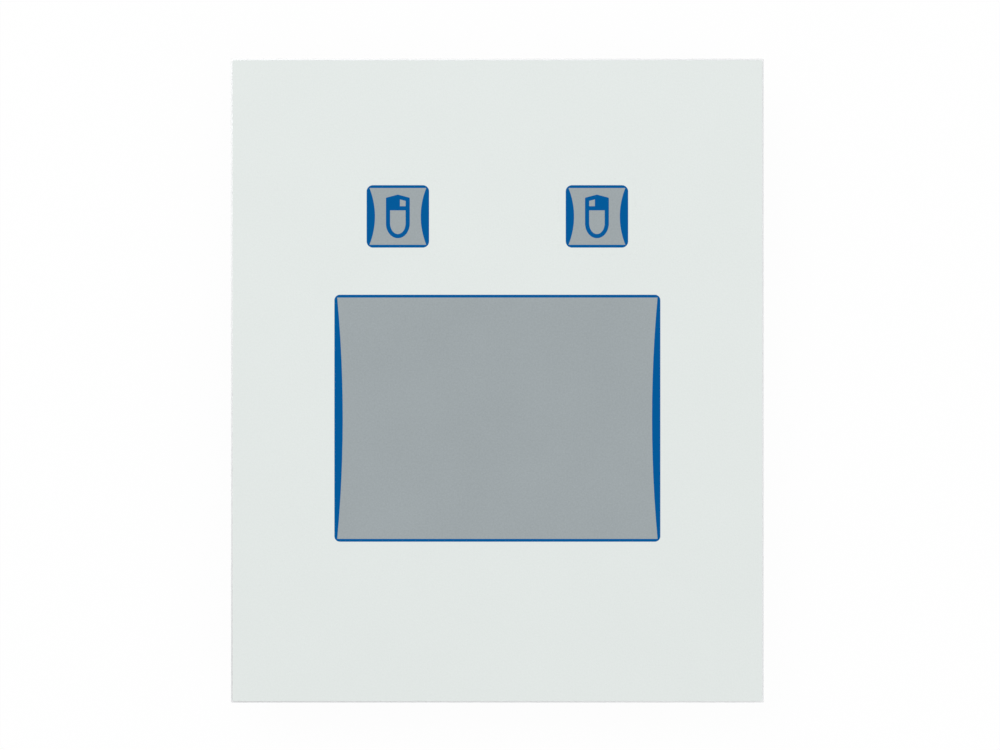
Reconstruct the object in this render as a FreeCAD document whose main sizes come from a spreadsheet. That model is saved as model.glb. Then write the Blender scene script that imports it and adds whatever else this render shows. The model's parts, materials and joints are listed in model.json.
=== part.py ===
import FreeCAD, Part
import Sketcher
import math
import os
import re

# A touchpad module that is built into a panel: a printed film on an aluminium front plate, a touch
# sensor behind the grey field, two short-travel keys above it, and the electronics in a rear cover.
# Millimetres. The origin is under the middle of the rear cover, +Z points out of the touch surface,
# +Y points from the touch field to the keys.

SIZES = {
    # Front plate and film
    "panel_width": 106.3,  # front plate, left to right
    "panel_height": 128.5,  # front plate, bottom to top
    "plate_thickness": 3.0,  # aluminium sheet
    "plate_corner": 0.3,  # radius of the broken corners
    "film_thickness": 0.25,  # polyester film
    "film_inset": 0.35,  # film's edge inside the plate's edge
    "adhesive_thickness": 0.15,  # adhesive between film and plate
    "adhesive_inset": 0.4,  # adhesive's edge inside the film's edge
    "ink_thickness": 0.05,  # printed areas, flush with the film
    # Touch field
    "field_width": 65.0,  # outside of the blue outline
    "field_height": 49.25,  # outside of the blue outline
    "field_drop": 7.5,  # centre below the panel's centre
    "field_corner": 1.1,  # outer corner radius
    "line_width": 0.56,  # blue outline of field and keys
    "side_bow": 1.1,  # how far the blue sides swell to the inside
    # Keys
    "key_width": 12.45,  # side of the printed square
    "key_corner": 1.25,  # outer corner radius
    "key_spacing": 39.7,  # centre to centre
    "key_rise": 32.75,  # centres above the panel's centre
    "key_travel": 0.4,  # full stroke
    "key_overtravel": 0.2,  # room left under a pressed key
    "key_film_gap": 0.1,  # slit round the moving square
    "plunger_inset": 0.15,  # plunger's edge inside the key's edge
    "plunger_thickness": 1.15,  # head of the plunger
    "flex_margin": 2.25,  # free film round the plunger
    "pocket_corner": 2.0,  # corner radius of the plate's pocket
    "guide_diameter": 7.0,  # bore that guides the plunger
    "guide_clearance": 0.05,  # radial play of the plunger in it
    # Mouse pictogram
    "mouse_width": 4.75,  # outside
    "mouse_height": 8.7,  # outside
    "mouse_stroke": 0.83,  # line
    "mouse_gable": 0.62,  # rise of the pointed top
    "mouse_shoulder": 0.25,  # radius where the pointed top meets the sides
    "mouse_tail": 2.97,  # height of the rounded lower end
    "mouse_bar_rise": 1.2,  # cross bar's lower edge above the centre
    # Tact switches
    "switch_height": 5.0,  # board to the top of the stem
    "switch_side": 6.0,  # square base
    "switch_base_height": 3.3,  # plastic base
    "switch_floor": 1.0,  # under the dome
    "switch_cavity": 5.0,  # bore of the base
    "switch_cover_thickness": 0.2,  # metal cover
    "switch_cover_inset": 0.05,  # cover's edge inside the base's edge
    "switch_stem_diameter": 3.5,  # round stem
    "switch_stem_clearance": 0.15,  # stem to cover, radial
    "switch_flange_diameter": 4.4,  # flange that holds the stem in
    "switch_flange_thickness": 0.8,  # flange
    "nib_diameter": 1.0,  # tip on the dome
    "dome_radius": 2.2,  # snap dome, inside of its foot
    "dome_height": 0.6,  # snap dome, inside
    "dome_thickness": 0.12,  # snap dome, sheet
    "dome_bulge": 0.12,  # how far the dome's side stands out of a straight cone
    "stake_diameter": 0.8,  # rivet posts of the base
    "stake_inset": 0.6,  # rivet centres inside the base's edge
    "stake_height": 0.25,  # rivet heads above the cover
    "stake_clearance": 0.1,  # rivet to cover, radial
    "terminal_width": 0.7,  # solder pins
    "terminal_thickness": 0.3,  # solder pins
    "terminal_pitch": 4.5,  # pins along one side
    "terminal_rise": 1.0,  # pins above the board
    "terminal_stub": 1.0,  # pins behind the board
    "terminal_hole": 1.0,  # board hole for a pin
    # Touch sensor
    "sensor_thickness": 1.0,  # sensor board
    "sensor_corner": 1.0,  # corner radius
    "window_gap": 0.2,  # sensor board to the plate's window
    "foam_inset": 2.0,  # foam's edge inside the sensor board's edge
    "foam_gap": 0.6,  # foam round the parts
    "backing_thickness": 1.0,  # backing plate
    "backing_overlap": 5.0,  # backing plate beyond the window
    "backing_corner": 2.0,  # corner radius
    "backing_screw_diameter": 2.0,  # thread
    "backing_screw_head": 3.8,  # pan head
    "backing_screw_head_height": 1.3,  # pan head
    "backing_screw_grip": 2.0,  # thread in the front plate
    "touch_chip_side": 7.0,  # touch controller
    "touch_chip_height": 0.9,  # touch controller
    "touch_chip_x": -14.0,  # from the field's centre
    "touch_chip_y": -3.0,  # from the field's centre
    # Flat cable
    "cable_width": 5.5,  # ten ways
    "cable_thickness": 0.3,  # with its stiffener
    "cable_insertion": 2.5,  # inside each socket
    "cable_run": 1.2,  # straight, from socket to bend
    "cable_bend_gap": 0.6,  # bend to the window's edge
    "cable_slot_gap": 0.1,  # cable to socket
    "cable_side_gap": 1.0,  # cable to the slot in the backing plate
    "socket_width": 9.4,  # flat-cable socket
    "socket_depth": 4.2,  # flat-cable socket
    "socket_height": 1.6,  # flat-cable socket
    # Controller board
    "board_overlap": 0.3,  # board's sides beyond the backing plate's sides
    "board_height": 98.0,  # bottom to top
    "board_thickness": 1.6,  # glass-fibre board
    "board_corner": 2.0,  # corner radius
    "board_margin": 1.5,  # board's edge to the cover's wall
    "usb_chip_side": 7.0,  # USB controller
    "usb_chip_height": 1.4,  # USB controller
    "usb_chip_x": 18.0,  # from the panel's centre
    "usb_chip_y": 12.0,  # from the panel's centre
    "crystal_length": 11.2,  # clock crystal
    "crystal_width": 4.6,  # clock crystal
    "crystal_height": 3.5,  # clock crystal
    "crystal_corner": 2.2,  # rounded ends
    "crystal_x": 0.0,  # from the panel's centre
    "crystal_y": 12.0,  # from the panel's centre
    "regulator_length": 6.5,  # voltage regulator
    "regulator_width": 3.5,  # voltage regulator
    "regulator_height": 1.6,  # voltage regulator
    "regulator_x": 18.0,  # from the panel's centre
    "regulator_y": 25.0,  # from the panel's centre
    "small_part_length": 1.6,  # chip capacitors and resistors
    "small_part_width": 0.8,  # chip capacitors and resistors
    "small_part_height": 0.7,  # chip capacitors and resistors
    "small_part_gap": 0.9,  # to the chip that they serve
    "small_part_pitch": 2.2,  # one to the next
    # Rear cover and spacers
    "cover_sheet": 1.5,  # folded steel sheet
    "cover_corner": 3.0,  # upright corners, outside
    "cover_bend": 2.0,  # fold along the base, outside
    "rear_space": 5.5,  # room between the board and the cover
    "spacer_across": 5.0,  # hexagon, across flats
    "spacer_inset": 3.0,  # centres inside the board's edge
    "spacer_thread": 2.5,  # thread of spacers and cover screws
    "spacer_stud_length": 4.0,  # stud that goes through the board
    "spigot_diameter": 3.5,  # spacer's end pressed into the plate
    "spigot_depth": 1.5,  # spacer's end pressed into the plate
    "press_gap": 0.02,  # radial, pressed-in ends
    "thread_gap": 0.03,  # radial, in threads
    "hole_clearance": 0.1,  # radial, screws and studs in holes
    "thread_runout": 0.5,  # bore left free beyond a thread
    "cover_screw_head": 4.7,  # countersunk head
    "cover_screw_length": 6.0,  # whole length
    "cover_screw_socket": 1.5,  # hexagon recess, across flats
    "cover_screw_socket_depth": 0.9,  # hexagon recess
    # Gasket and studs
    "gasket_gap": 1.5,  # cover's wall to the gasket
    "gasket_width": 4.0,  # sealing band
    "gasket_thickness": 1.0,  # cellular rubber
    "gasket_corner": 4.0,  # inner corner radius
    "stud_inset_x": 4.89,  # centres inside the plate's side edges
    "stud_inset_y": 3.0,  # centres inside the plate's upper and lower edges
    "stud_diameter": 3.0,  # thread
    "stud_length": 10.0,  # behind the plate
    "stud_head": 4.6,  # pressed-in head
    "stud_head_depth": 1.5,  # pressed-in head
    "stud_chamfer": 0.4,  # free end
    # USB socket
    "usb_offset": 18.0,  # right of the middle
    "usb_width": 7.7,  # shell, outside
    "usb_height": 3.9,  # shell, outside
    "usb_length": 9.2,  # shell, outside
    "usb_chamfer": 0.9,  # slanted corners of the shell
    "usb_sheet": 0.3,  # shell's sheet
    "usb_setback": 0.3,  # mouth behind the cover's outer face
    "usb_opening_gap": 0.4,  # shell to the opening in the cover
    "usb_block_length": 3.0,  # plastic behind the tongue
    "usb_block_gap": 0.05,  # plastic to the shell
    "tongue_width": 4.6,  # plastic tongue
    "tongue_thickness": 1.2,  # plastic tongue
    "tongue_setback": 1.2,  # tip behind the mouth
    "contact_width": 0.35,  # spring contact
    "contact_thickness": 0.12,  # spring contact
    "contact_pitch": 0.8,  # one to the next
    "contact_setback": 0.4,  # contact behind the tongue's tip
}

# Places and sizes that follow from the ones above.
DERIVED = {
    "board_rear": "cover_sheet + rear_space",
    "board_front": "board_rear + board_thickness",
    "plate_rear": "board_front + switch_height",
    "plate_front": "plate_rear + plate_thickness",
    "film_rear": "plate_front + adhesive_thickness",
    "film_front": "film_rear + film_thickness",
    "ink_rear": "film_front - ink_thickness",
    "sensor_rear": "plate_front - sensor_thickness",
    "backing_rear": "plate_rear - backing_thickness",
    "film_width": "panel_width - 2 * film_inset",
    "film_height": "panel_height - 2 * film_inset",
    "key_opening": "key_width + 2 * key_film_gap",
    "plunger_width": "key_width - 2 * plunger_inset",
    "pocket_width": "plunger_width + 2 * flex_margin",
    "pocket_depth": "plunger_thickness + key_travel + key_overtravel - adhesive_thickness",
    "window_width": "field_width + 2 * window_gap",
    "window_height": "field_height + 2 * window_gap",
    "window_top": "window_height / 2 - field_drop",
    "backing_width": "window_width + 2 * backing_overlap",
    "backing_height": "window_height + 2 * backing_overlap",
    "backing_screw_x": "(backing_width - backing_overlap) / 2",
    "backing_screw_y": "(backing_height - backing_overlap) / 2",
    "sensor_cable_level": "sensor_rear - socket_height / 2",
    "board_cable_level": "board_front + socket_height / 2",
    "bend_radius": "(sensor_cable_level - board_cable_level) / 2",
    "bend_y": "window_top - cable_bend_gap - bend_radius - cable_thickness / 2",
    "socket_mouth": "bend_y - cable_run",
    "board_width": "backing_width + 2 * board_overlap",
    "cover_width": "board_width + 2 * (board_margin + cover_sheet)",
    "cover_height": "board_height + 2 * (board_margin + cover_sheet)",
    "spacer_x": "board_width / 2 - spacer_inset",
    "spacer_y": "board_height / 2 - spacer_inset",
    "gasket_inner_width": "cover_width + 2 * gasket_gap",
    "gasket_inner_height": "cover_height + 2 * gasket_gap",
    "stud_x": "panel_width / 2 - stud_inset_x",
    "stud_y": "panel_height / 2 - stud_inset_y",
    "terminal_x": "(switch_side + terminal_thickness) / 2",
    "dome_flat": "nib_diameter / 2 + dome_thickness",
    "dome_chord": "sqrt(dome_height ^ 2 + (dome_radius - dome_flat) ^ 2)",
    "cone_height": "(cover_screw_head - spacer_thread) / 2",
    "usb_mouth": "cover_height / 2 - usb_setback",
}

SIDES = (("left", "-"), ("right", ""))
LEVEL_TOLERANCE = 1e-6  # how flat an edge or a face lies that counts as level

document = FreeCAD.newDocument("touchpad")
sub_parts = []


def fill_sheet():
    """Writes every driving size into the spreadsheet and names its cell after it."""
    table = document.addObject("Spreadsheet::Sheet", "sizes")
    for row, (name, value) in enumerate(SIZES.items(), start=1):
        table.set(f"A{row}", name)
        table.set(f"B{row}", str(value))
        table.setAlias(f"B{row}", name)
    document.recompute()
    return table


sheet = fill_sheet()


def bound(text):
    """Points each size name in an expression at its cell, and spells out the derived ones."""
    def reference(match):
        word = match.group(0)
        if word in DERIVED:
            return f"({bound(DERIVED[word])})"
        if word in SIZES:
            return f"sizes.{word}"
        return word
    return re.sub(r"[a-z][a-z_0-9]*", reference, text)


def number(text):
    """The present value of an expression."""
    return float(sheet.evalExpression(bound(text)))


def bind(feature, **properties):
    """Ties properties of a feature to expressions."""
    for name, text in properties.items():
        feature.setExpression(name, bound(text))


def place(feature, x="0", y="0", z="0"):
    """Ties a sub-part's place to expressions."""
    for axis, text in (("x", x), ("y", y), ("z", z)):
        feature.setExpression(f"Placement.Base.{axis}", bound(text))


def constrain(sketch, kind, members, text):
    """Adds a dimension to a sketch and ties it to an expression."""
    index = sketch.addConstraint(Sketcher.Constraint(kind, *members, number(text)))
    sketch.setExpression(f"Constraints[{index}]", bound(text))


def hold(sketch, geometry, vertex, x, y):
    """Holds a point of a sketch at a place measured from the sketch's origin."""
    constrain(sketch, "DistanceX", (-1, 1, geometry, vertex), x)
    constrain(sketch, "DistanceY", (-1, 1, geometry, vertex), y)


def point(x, y):
    return FreeCAD.Vector(number(x), number(y), 0)


def rounded_rectangle(sketch, width, height, radius, x="0", y="0"):
    """Draws a rectangle with round corners about a centre."""
    wide, tall, round_off = number(width), number(height), number(radius)
    centre = point(x, y)
    left, low = centre.x - wide / 2, centre.y - tall / 2
    right, high = left + wide, low + tall
    starts = [(left + round_off, low), (right, low + round_off),
              (right - round_off, high), (left, high - round_off)]
    ends = [(right - round_off, low), (right, high - round_off),
            (left + round_off, high), (left, low + round_off)]
    middles = [(right - round_off, low + round_off), (right - round_off, high - round_off),
               (left + round_off, high - round_off), (left + round_off, low + round_off)]
    lines, arcs = [], []
    for quarter in range(4):
        line = Part.LineSegment(FreeCAD.Vector(*starts[quarter], 0), FreeCAD.Vector(*ends[quarter], 0))
        circle = Part.Circle(FreeCAD.Vector(*middles[quarter], 0), FreeCAD.Vector(0, 0, 1), round_off)
        turn = math.radians(90 * quarter - 90)
        lines.append(sketch.addGeometry(line, False))
        arcs.append(sketch.addGeometry(Part.ArcOfCircle(circle, turn, turn + math.pi / 2), False))
    for quarter in range(4):
        following = lines[(quarter + 1) % 4]
        direction = "Vertical" if quarter % 2 else "Horizontal"
        sketch.addConstraint(Sketcher.Constraint("Tangent", lines[quarter], 2, arcs[quarter], 1))
        sketch.addConstraint(Sketcher.Constraint("Tangent", arcs[quarter], 2, following, 1))
        sketch.addConstraint(Sketcher.Constraint(direction, lines[quarter]))
        if quarter:
            sketch.addConstraint(Sketcher.Constraint("Equal", arcs[0], arcs[quarter]))
    constrain(sketch, "Radius", (arcs[0],), radius)
    constrain(sketch, "DistanceX", (lines[3], 1, lines[1], 1), width)
    constrain(sketch, "DistanceY", (lines[0], 1, lines[2], 1), height)
    constrain(sketch, "DistanceX", (-1, 1, lines[3], 1), f"({x}) - ({width}) / 2")
    constrain(sketch, "DistanceY", (-1, 1, lines[0], 1), f"({y}) - ({height}) / 2")


def circle(sketch, diameter, x="0", y="0"):
    """Draws a circle about a centre."""
    outline = Part.Circle(point(x, y), FreeCAD.Vector(0, 0, 1), number(diameter) / 2)
    index = sketch.addGeometry(outline, False)
    constrain(sketch, "Diameter", (index,), diameter)
    hold(sketch, index, 3, x, y)


def arc_through(first, middle, last):
    """The arc through three points, and whether it runs from the first one anticlockwise."""
    onward = (middle - first).cross(last - middle).z > 0
    curve = Part.Arc(first, middle, last).toShape().Curve
    centre = curve.Center
    ends = (first, last) if onward else (last, first)
    start, stop = [math.atan2(end.y - centre.y, end.x - centre.x) for end in ends]
    ring = Part.Circle(centre, FreeCAD.Vector(0, 0, 1), curve.Radius)
    return Part.ArcOfCircle(ring, start, stop), onward


def outline(sketch, corners, through=None):
    """Draws a closed outline through corners; an edge named in through is an arc by that point."""
    through = through or {}
    joints = []
    for index, corner in enumerate(corners):
        first, last = point(*corner), point(*corners[(index + 1) % len(corners)])
        if index not in through:
            edge = sketch.addGeometry(Part.LineSegment(first, last), False)
            joints.append((edge, 1, 2))
            continue
        middle = point(*through[index])
        arc, onward = arc_through(first, middle, last)
        edge = sketch.addGeometry(arc, False)
        joints.append((edge, 1, 2) if onward else (edge, 2, 1))
        mark = sketch.addGeometry(Part.Point(middle), True)
        hold(sketch, mark, 1, *through[index])
        sketch.addConstraint(Sketcher.Constraint("PointOnObject", mark, 1, edge))
    for index, (edge, start, end) in enumerate(joints):
        following, following_start, following_end = joints[(index + 1) % len(joints)]
        sketch.addConstraint(Sketcher.Constraint("Coincident", edge, end, following, following_start))
        hold(sketch, edge, start, *corners[index])


def rectangle(sketch, width, height, x="0", y="0"):
    """Draws a rectangle about a centre."""
    left, right = f"({x}) - ({width}) / 2", f"({x}) + ({width}) / 2"
    low, high = f"({y}) - ({height}) / 2", f"({y}) + ({height}) / 2"
    outline(sketch, [(left, low), (right, low), (right, high), (left, high)])


def hexagon(sketch, across, x="0", y="0"):
    """Draws a hexagon with two upright flats about a centre."""
    half, tip = f"({across}) / 2", f"({across}) / sqrt(3)"
    outline(sketch, [(f"({x}) + {half}", f"({y}) - {tip} / 2"), (f"({x}) + {half}", f"({y}) + {tip} / 2"),
                     (x, f"({y}) + {tip}"), (f"({x}) - {half}", f"({y}) + {tip} / 2"),
                     (f"({x}) - {half}", f"({y}) - {tip} / 2"), (x, f"({y}) - {tip}")])


def bowed_outline(sketch, width, height, y="0"):
    """Draws the printed field's inside: straight top and bottom, sides that swell inwards."""
    half_width, half_height = f"(({width}) / 2 - line_width)", f"(({height}) / 2 - line_width)"
    low, high = f"({y}) - {half_height}", f"({y}) + {half_height}"
    corners = [(f"-{half_width}", low), (half_width, low), (half_width, high), (f"-{half_width}", high)]
    outline(sketch, corners, {1: (f"{half_width} - side_bow", y), 3: (f"side_bow - {half_width}", y)})


def four_places(x, y):
    """The four corners of a rectangle about the centre."""
    return [(f"-({x})", f"-({y})"), (x, f"-({y})"), (x, y), (f"-({x})", y)]


def key_places():
    return [(f"{sign}key_spacing / 2", "key_rise") for side, sign in SIDES]


class Piece:
    """One sub-part that is made of sketches and features in a body of its own."""

    def __init__(self, label, x="0", y="0", z="0"):
        self.body = document.addObject("PartDesign::Body", label)
        self.body.Label = label
        self.label = label
        place(self.body, x, y, z)
        sub_parts.append(self.body)

    def sketch(self, name, level="0", role="XY_Plane"):
        drawing = self.body.newObject("Sketcher::SketchObject", f"{self.label}_{name}")
        planes = {feature.Role: feature for feature in self.body.Origin.OriginFeatures}
        drawing.AttachmentSupport = (planes[role], [""])
        drawing.MapMode = "FlatFace"
        drawing.setExpression("AttachmentOffset.Base.z", bound(level))
        return drawing

    def feature(self, kind, drawing, **properties):
        made = self.body.newObject(f"PartDesign::{kind}", f"{drawing.Name}_{kind.lower()}")
        made.Profile = drawing
        bind(made, **properties)
        return made

    def pad(self, drawing, length, down=False, both_ways=False, taper=None):
        """Adds material on one side of a sketch, or on both alike."""
        made = self.feature("Pad", drawing, Length=length)
        made.Reversed = down
        if both_ways:
            made.SideType = "Symmetric"
        if taper:
            bind(made, TaperAngle=taper)
        document.recompute()
        return made

    def pocket(self, drawing, depth, up=False, taper=None):
        """Cuts below a sketch, or above it, and makes sure that it cuts."""
        before = self.body.Shape.Volume
        made = self.feature("Pocket", drawing, Length=depth)
        made.Reversed = up
        if taper:
            bind(made, TaperAngle=taper)
        document.recompute()
        if not self.body.Shape.Volume < before:
            raise RuntimeError(f"{made.Name} cuts nothing")
        return made

    def revolve(self, drawing):
        """Turns a sketch on the XZ plane once about the body's Z axis."""
        made = self.feature("Revolution", drawing)
        made.ReferenceAxis = (drawing, ["V_Axis"])
        made.Angle = 360
        document.recompute()
        return made

    def level_names(self, feature, kind, level):
        """The edges or faces of a feature that lie flat at one level."""
        height = number(level)
        found = []
        for index, item in enumerate(getattr(feature.Shape, kind + "s")):
            box = item.BoundBox
            if max(abs(box.ZMin - height), abs(box.ZMax - height)) < LEVEL_TOLERANCE:
                found.append(f"{kind}{index + 1}")
        return found

    def dress(self, kind, feature, names, **properties):
        """Adds a fillet, a chamfer or a wall thickness to edges or faces."""
        made = self.body.newObject(f"PartDesign::{kind}", f"{feature.Name}_{kind.lower()}")
        made.Base = (feature, names)
        bind(made, **properties)
        document.recompute()
        return made


def block(label, length, width, height, x, y, z):
    """A plain block, its centre at x and y and its lower face at z."""
    made = document.addObject("Part::Box", label)
    made.Label = label
    bind(made, Length=length, Width=width, Height=height)
    place(made, f"({x}) - ({length}) / 2", f"({y}) - ({width}) / 2", z)
    return made


def combine(kind, label, **inputs):
    """A boolean or a group of other objects, kept as one sub-part."""
    made = document.addObject(f"Part::{kind}", label)
    made.Label = label
    for name, value in inputs.items():
        setattr(made, name, value)
    sub_parts.append(made)
    return made


def front_plate():
    """The aluminium plate: sensor window, key pockets with guide bores, blind bores in its back."""
    piece = Piece("front_plate")
    drawing = piece.sketch("edge", "plate_rear")
    rounded_rectangle(drawing, "panel_width", "panel_height", "plate_corner")
    piece.pad(drawing, "plate_thickness")

    drawing = piece.sketch("window", "plate_front")
    rounded_rectangle(drawing, "window_width", "window_height", "sensor_corner + window_gap",
                      y="-field_drop")
    piece.pocket(drawing, "plate_thickness")

    drawing = piece.sketch("key_pockets", "plate_front")
    for x, y in key_places():
        rounded_rectangle(drawing, "pocket_width", "pocket_width", "pocket_corner", x, y)
    piece.pocket(drawing, "pocket_depth")

    drawing = piece.sketch("key_guides", "plate_front - pocket_depth")
    for x, y in key_places():
        circle(drawing, "guide_diameter", x, y)
    piece.pocket(drawing, "plate_thickness - pocket_depth")

    drawing = piece.sketch("stud_bores", "plate_rear")
    for x, y in four_places("stud_x", "stud_y"):
        circle(drawing, "stud_head + 2 * press_gap", x, y)
    piece.pocket(drawing, "stud_head_depth + press_gap", up=True)

    drawing = piece.sketch("spacer_bores", "plate_rear")
    for x, y in four_places("spacer_x", "spacer_y"):
        circle(drawing, "spigot_diameter + 2 * press_gap", x, y)
    piece.pocket(drawing, "spigot_depth + press_gap", up=True)

    drawing = piece.sketch("screw_bores", "plate_rear")
    for x, y in backing_screw_places():
        circle(drawing, "backing_screw_diameter + 2 * thread_gap", x, y)
    piece.pocket(drawing, "backing_screw_grip + thread_runout", up=True)


def backing_screw_places():
    """Six places: the corners of the backing plate and the middle of its long sides."""
    return [(f"{sign}backing_screw_x", f"{row} * backing_screw_y - field_drop")
            for sign in ("-", "") for row in (-1, 0, 1)]


def film_adhesive():
    """The adhesive layer, open over the two key pockets."""
    piece = Piece("film_adhesive")
    drawing = piece.sketch("edge", "plate_front")
    rounded_rectangle(drawing, "film_width - 2 * adhesive_inset", "film_height - 2 * adhesive_inset",
                      "plate_corner")
    piece.pad(drawing, "adhesive_thickness")
    drawing = piece.sketch("key_openings", "film_rear")
    for x, y in key_places():
        rounded_rectangle(drawing, "pocket_width", "pocket_width", "pocket_corner", x, y)
    piece.pocket(drawing, "adhesive_thickness")


def front_film():
    """The film: slit round the moving squares, with a shallow bed for the touch field's print."""
    piece = Piece("front_film")
    drawing = piece.sketch("edge", "film_rear")
    rounded_rectangle(drawing, "film_width", "film_height", "plate_corner")
    piece.pad(drawing, "film_thickness")
    drawing = piece.sketch("key_openings", "film_front")
    for x, y in key_places():
        rounded_rectangle(drawing, "key_opening", "key_opening", "key_corner + key_film_gap", x, y)
    piece.pocket(drawing, "film_thickness")
    drawing = piece.sketch("print_bed", "film_front")
    rounded_rectangle(drawing, "field_width", "field_height", "field_corner", y="-field_drop")
    piece.pocket(drawing, "ink_thickness")


def touch_field_prints():
    """The blue outline with its swelling sides, and the grey field inside it."""
    piece = Piece("touch_outline_print")
    drawing = piece.sketch("shape", "ink_rear")
    rounded_rectangle(drawing, "field_width", "field_height", "field_corner", y="-field_drop")
    bowed_outline(drawing, "field_width", "field_height", "-field_drop")
    piece.pad(drawing, "ink_thickness")

    piece = Piece("touch_field_print")
    drawing = piece.sketch("shape", "ink_rear")
    bowed_outline(drawing, "field_width", "field_height", "-field_drop")
    piece.pad(drawing, "ink_thickness")


def straight_wire(points):
    """A closed wire of straight edges."""
    return Part.makePolygon([FreeCAD.Vector(x, y, 0) for x, y in points + points[:1]])


def key_square_face():
    """The whole printed square of a key, with round corners."""
    side, radius = number("key_width"), number("key_corner")
    solid = Part.makeBox(side, side, side, FreeCAD.Vector(-side / 2, -side / 2, 0))
    upright = [edge for edge in solid.Edges if edge.BoundBox.ZLength > LEVEL_TOLERANCE]
    rounded = solid.makeFillet(radius, upright)
    return [face for face in rounded.Faces if face.BoundBox.ZMax < LEVEL_TOLERANCE][0]


def key_bowed_face():
    """The grey inside of a key: straight top and bottom, sides that swell inwards."""
    half, bow = number("key_width / 2 - line_width"), number("side_bow")
    corners = [FreeCAD.Vector(x * half, y * half, 0) for x, y in ((-1, -1), (1, -1), (1, 1), (-1, 1))]
    edges = [Part.makeLine(corners[0], corners[1]),
             Part.Arc(corners[1], FreeCAD.Vector(half - bow, 0, 0), corners[2]).toShape(),
             Part.makeLine(corners[2], corners[3]),
             Part.Arc(corners[3], FreeCAD.Vector(bow - half, 0, 0), corners[0]).toShape()]
    return Part.Face(Part.Wire(edges))


def mouse_tail_edge(inset):
    """The lower half of an ellipse, the rounded end of the pictogram."""
    half_width = number("mouse_width / 2") - inset
    tail = number("mouse_tail") - inset
    centre = FreeCAD.Vector(0, number("mouse_tail - mouse_height / 2"), 0)
    lowest, widest = centre - FreeCAD.Vector(0, tail, 0), centre + FreeCAD.Vector(half_width, 0, 0)
    ellipse = Part.Ellipse(lowest, widest, centre)
    return Part.ArcOfEllipse(ellipse, -math.pi / 2, math.pi / 2).toShape()


def mouse_outer_face():
    """The pictogram's outside: a pointed top on round shoulders, straight sides, a rounded lower end."""
    half_width, half_height = number("mouse_width / 2"), number("mouse_height / 2")
    start, radius = number("mouse_tail - mouse_height / 2"), number("mouse_shoulder")
    apex = FreeCAD.Vector(0, half_height, 0)
    edges = [mouse_tail_edge(0)]
    for side in (1, -1):
        corner = FreeCAD.Vector(side * half_width, half_height - number("mouse_gable"), 0)
        down, along = FreeCAD.Vector(0, -1, 0), (apex - corner).normalize()
        half_angle = down.getAngle(along) / 2
        reach = radius / math.tan(half_angle)
        low, high = corner + down * reach, corner + along * reach
        middle = corner + (down + along).normalize() * (radius / math.sin(half_angle) - radius)
        edges += [Part.makeLine(FreeCAD.Vector(side * half_width, start, 0), low),
                  Part.Arc(low, middle, high).toShape(),
                  Part.makeLine(high, apex)]
    return Part.Face(Part.Wire(Part.__sortEdges__(edges)))


def mouse_openings(open_side):
    """The two grey openings: the body, and the button that isn't filled."""
    stroke = number("mouse_stroke")
    half_width, half_height = number("mouse_width / 2") - stroke, number("mouse_height / 2")
    slope = number("mouse_gable / (mouse_width / 2)")
    drop = stroke * math.hypot(1, slope)
    start, bar = number("mouse_tail - mouse_height / 2"), number("mouse_bar_rise")
    sides = [((half_width, start), (half_width, bar)), ((half_width, bar), (-half_width, bar)),
             ((-half_width, bar), (-half_width, start))]
    lines = [Part.makeLine(FreeCAD.Vector(*first, 0), FreeCAD.Vector(*last, 0)) for first, last in sides]
    body = Part.Face(Part.Wire(Part.__sortEdges__(lines + [mouse_tail_edge(stroke)])))
    near, far = open_side * stroke / 2, open_side * half_width
    top = half_height - drop
    button = straight_wire([(near, bar + stroke), (far, bar + stroke),
                            (far, top - slope * half_width), (near, top - slope * stroke / 2)])
    return [body, Part.Face(button)]


def key_prints(side, sign):
    """The two inks of a key: blue outline and pictogram, grey ground and openings."""
    open_side = 1 if side == "left" else -1
    square, ground, mouse = key_square_face(), key_bowed_face(), mouse_outer_face()
    openings = mouse_openings(open_side)
    faces = {"line": [square.cut(ground), mouse.cut(openings)], "ground": [ground.cut(mouse)] + openings}
    for name, flat in faces.items():
        label = f"{side}_key_{name}_print"
        made = document.addObject("Part::Feature", label)
        made.Label = label
        height = FreeCAD.Vector(0, 0, number("ink_thickness"))
        solids = [solid for face in flat for solid in face.extrude(height).Solids]
        made.Shape = Part.makeCompound(solids)
        place(made, f"{sign}key_spacing / 2", "key_rise", "ink_rear")
        sub_parts.append(made)


def key_moving_parts(side, sign):
    """What goes down with a pressed key: its piece of film and the plunger under it."""
    piece = Piece(f"{side}_key_film", f"{sign}key_spacing / 2", "key_rise")
    drawing = piece.sketch("edge", "film_rear")
    rounded_rectangle(drawing, "key_width", "key_width", "key_corner")
    piece.pad(drawing, "film_thickness - ink_thickness")

    piece = Piece(f"{side}_key_plunger", f"{sign}key_spacing / 2", "key_rise")
    drawing = piece.sketch("head", "film_rear - plunger_thickness")
    rounded_rectangle(drawing, "plunger_width", "plunger_width", "key_corner - plunger_inset")
    piece.pad(drawing, "plunger_thickness")
    drawing = piece.sketch("foot", "film_rear - plunger_thickness")
    circle(drawing, "guide_diameter - 2 * guide_clearance")
    piece.pad(drawing, "film_rear - plunger_thickness - plate_rear", down=True)


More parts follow.
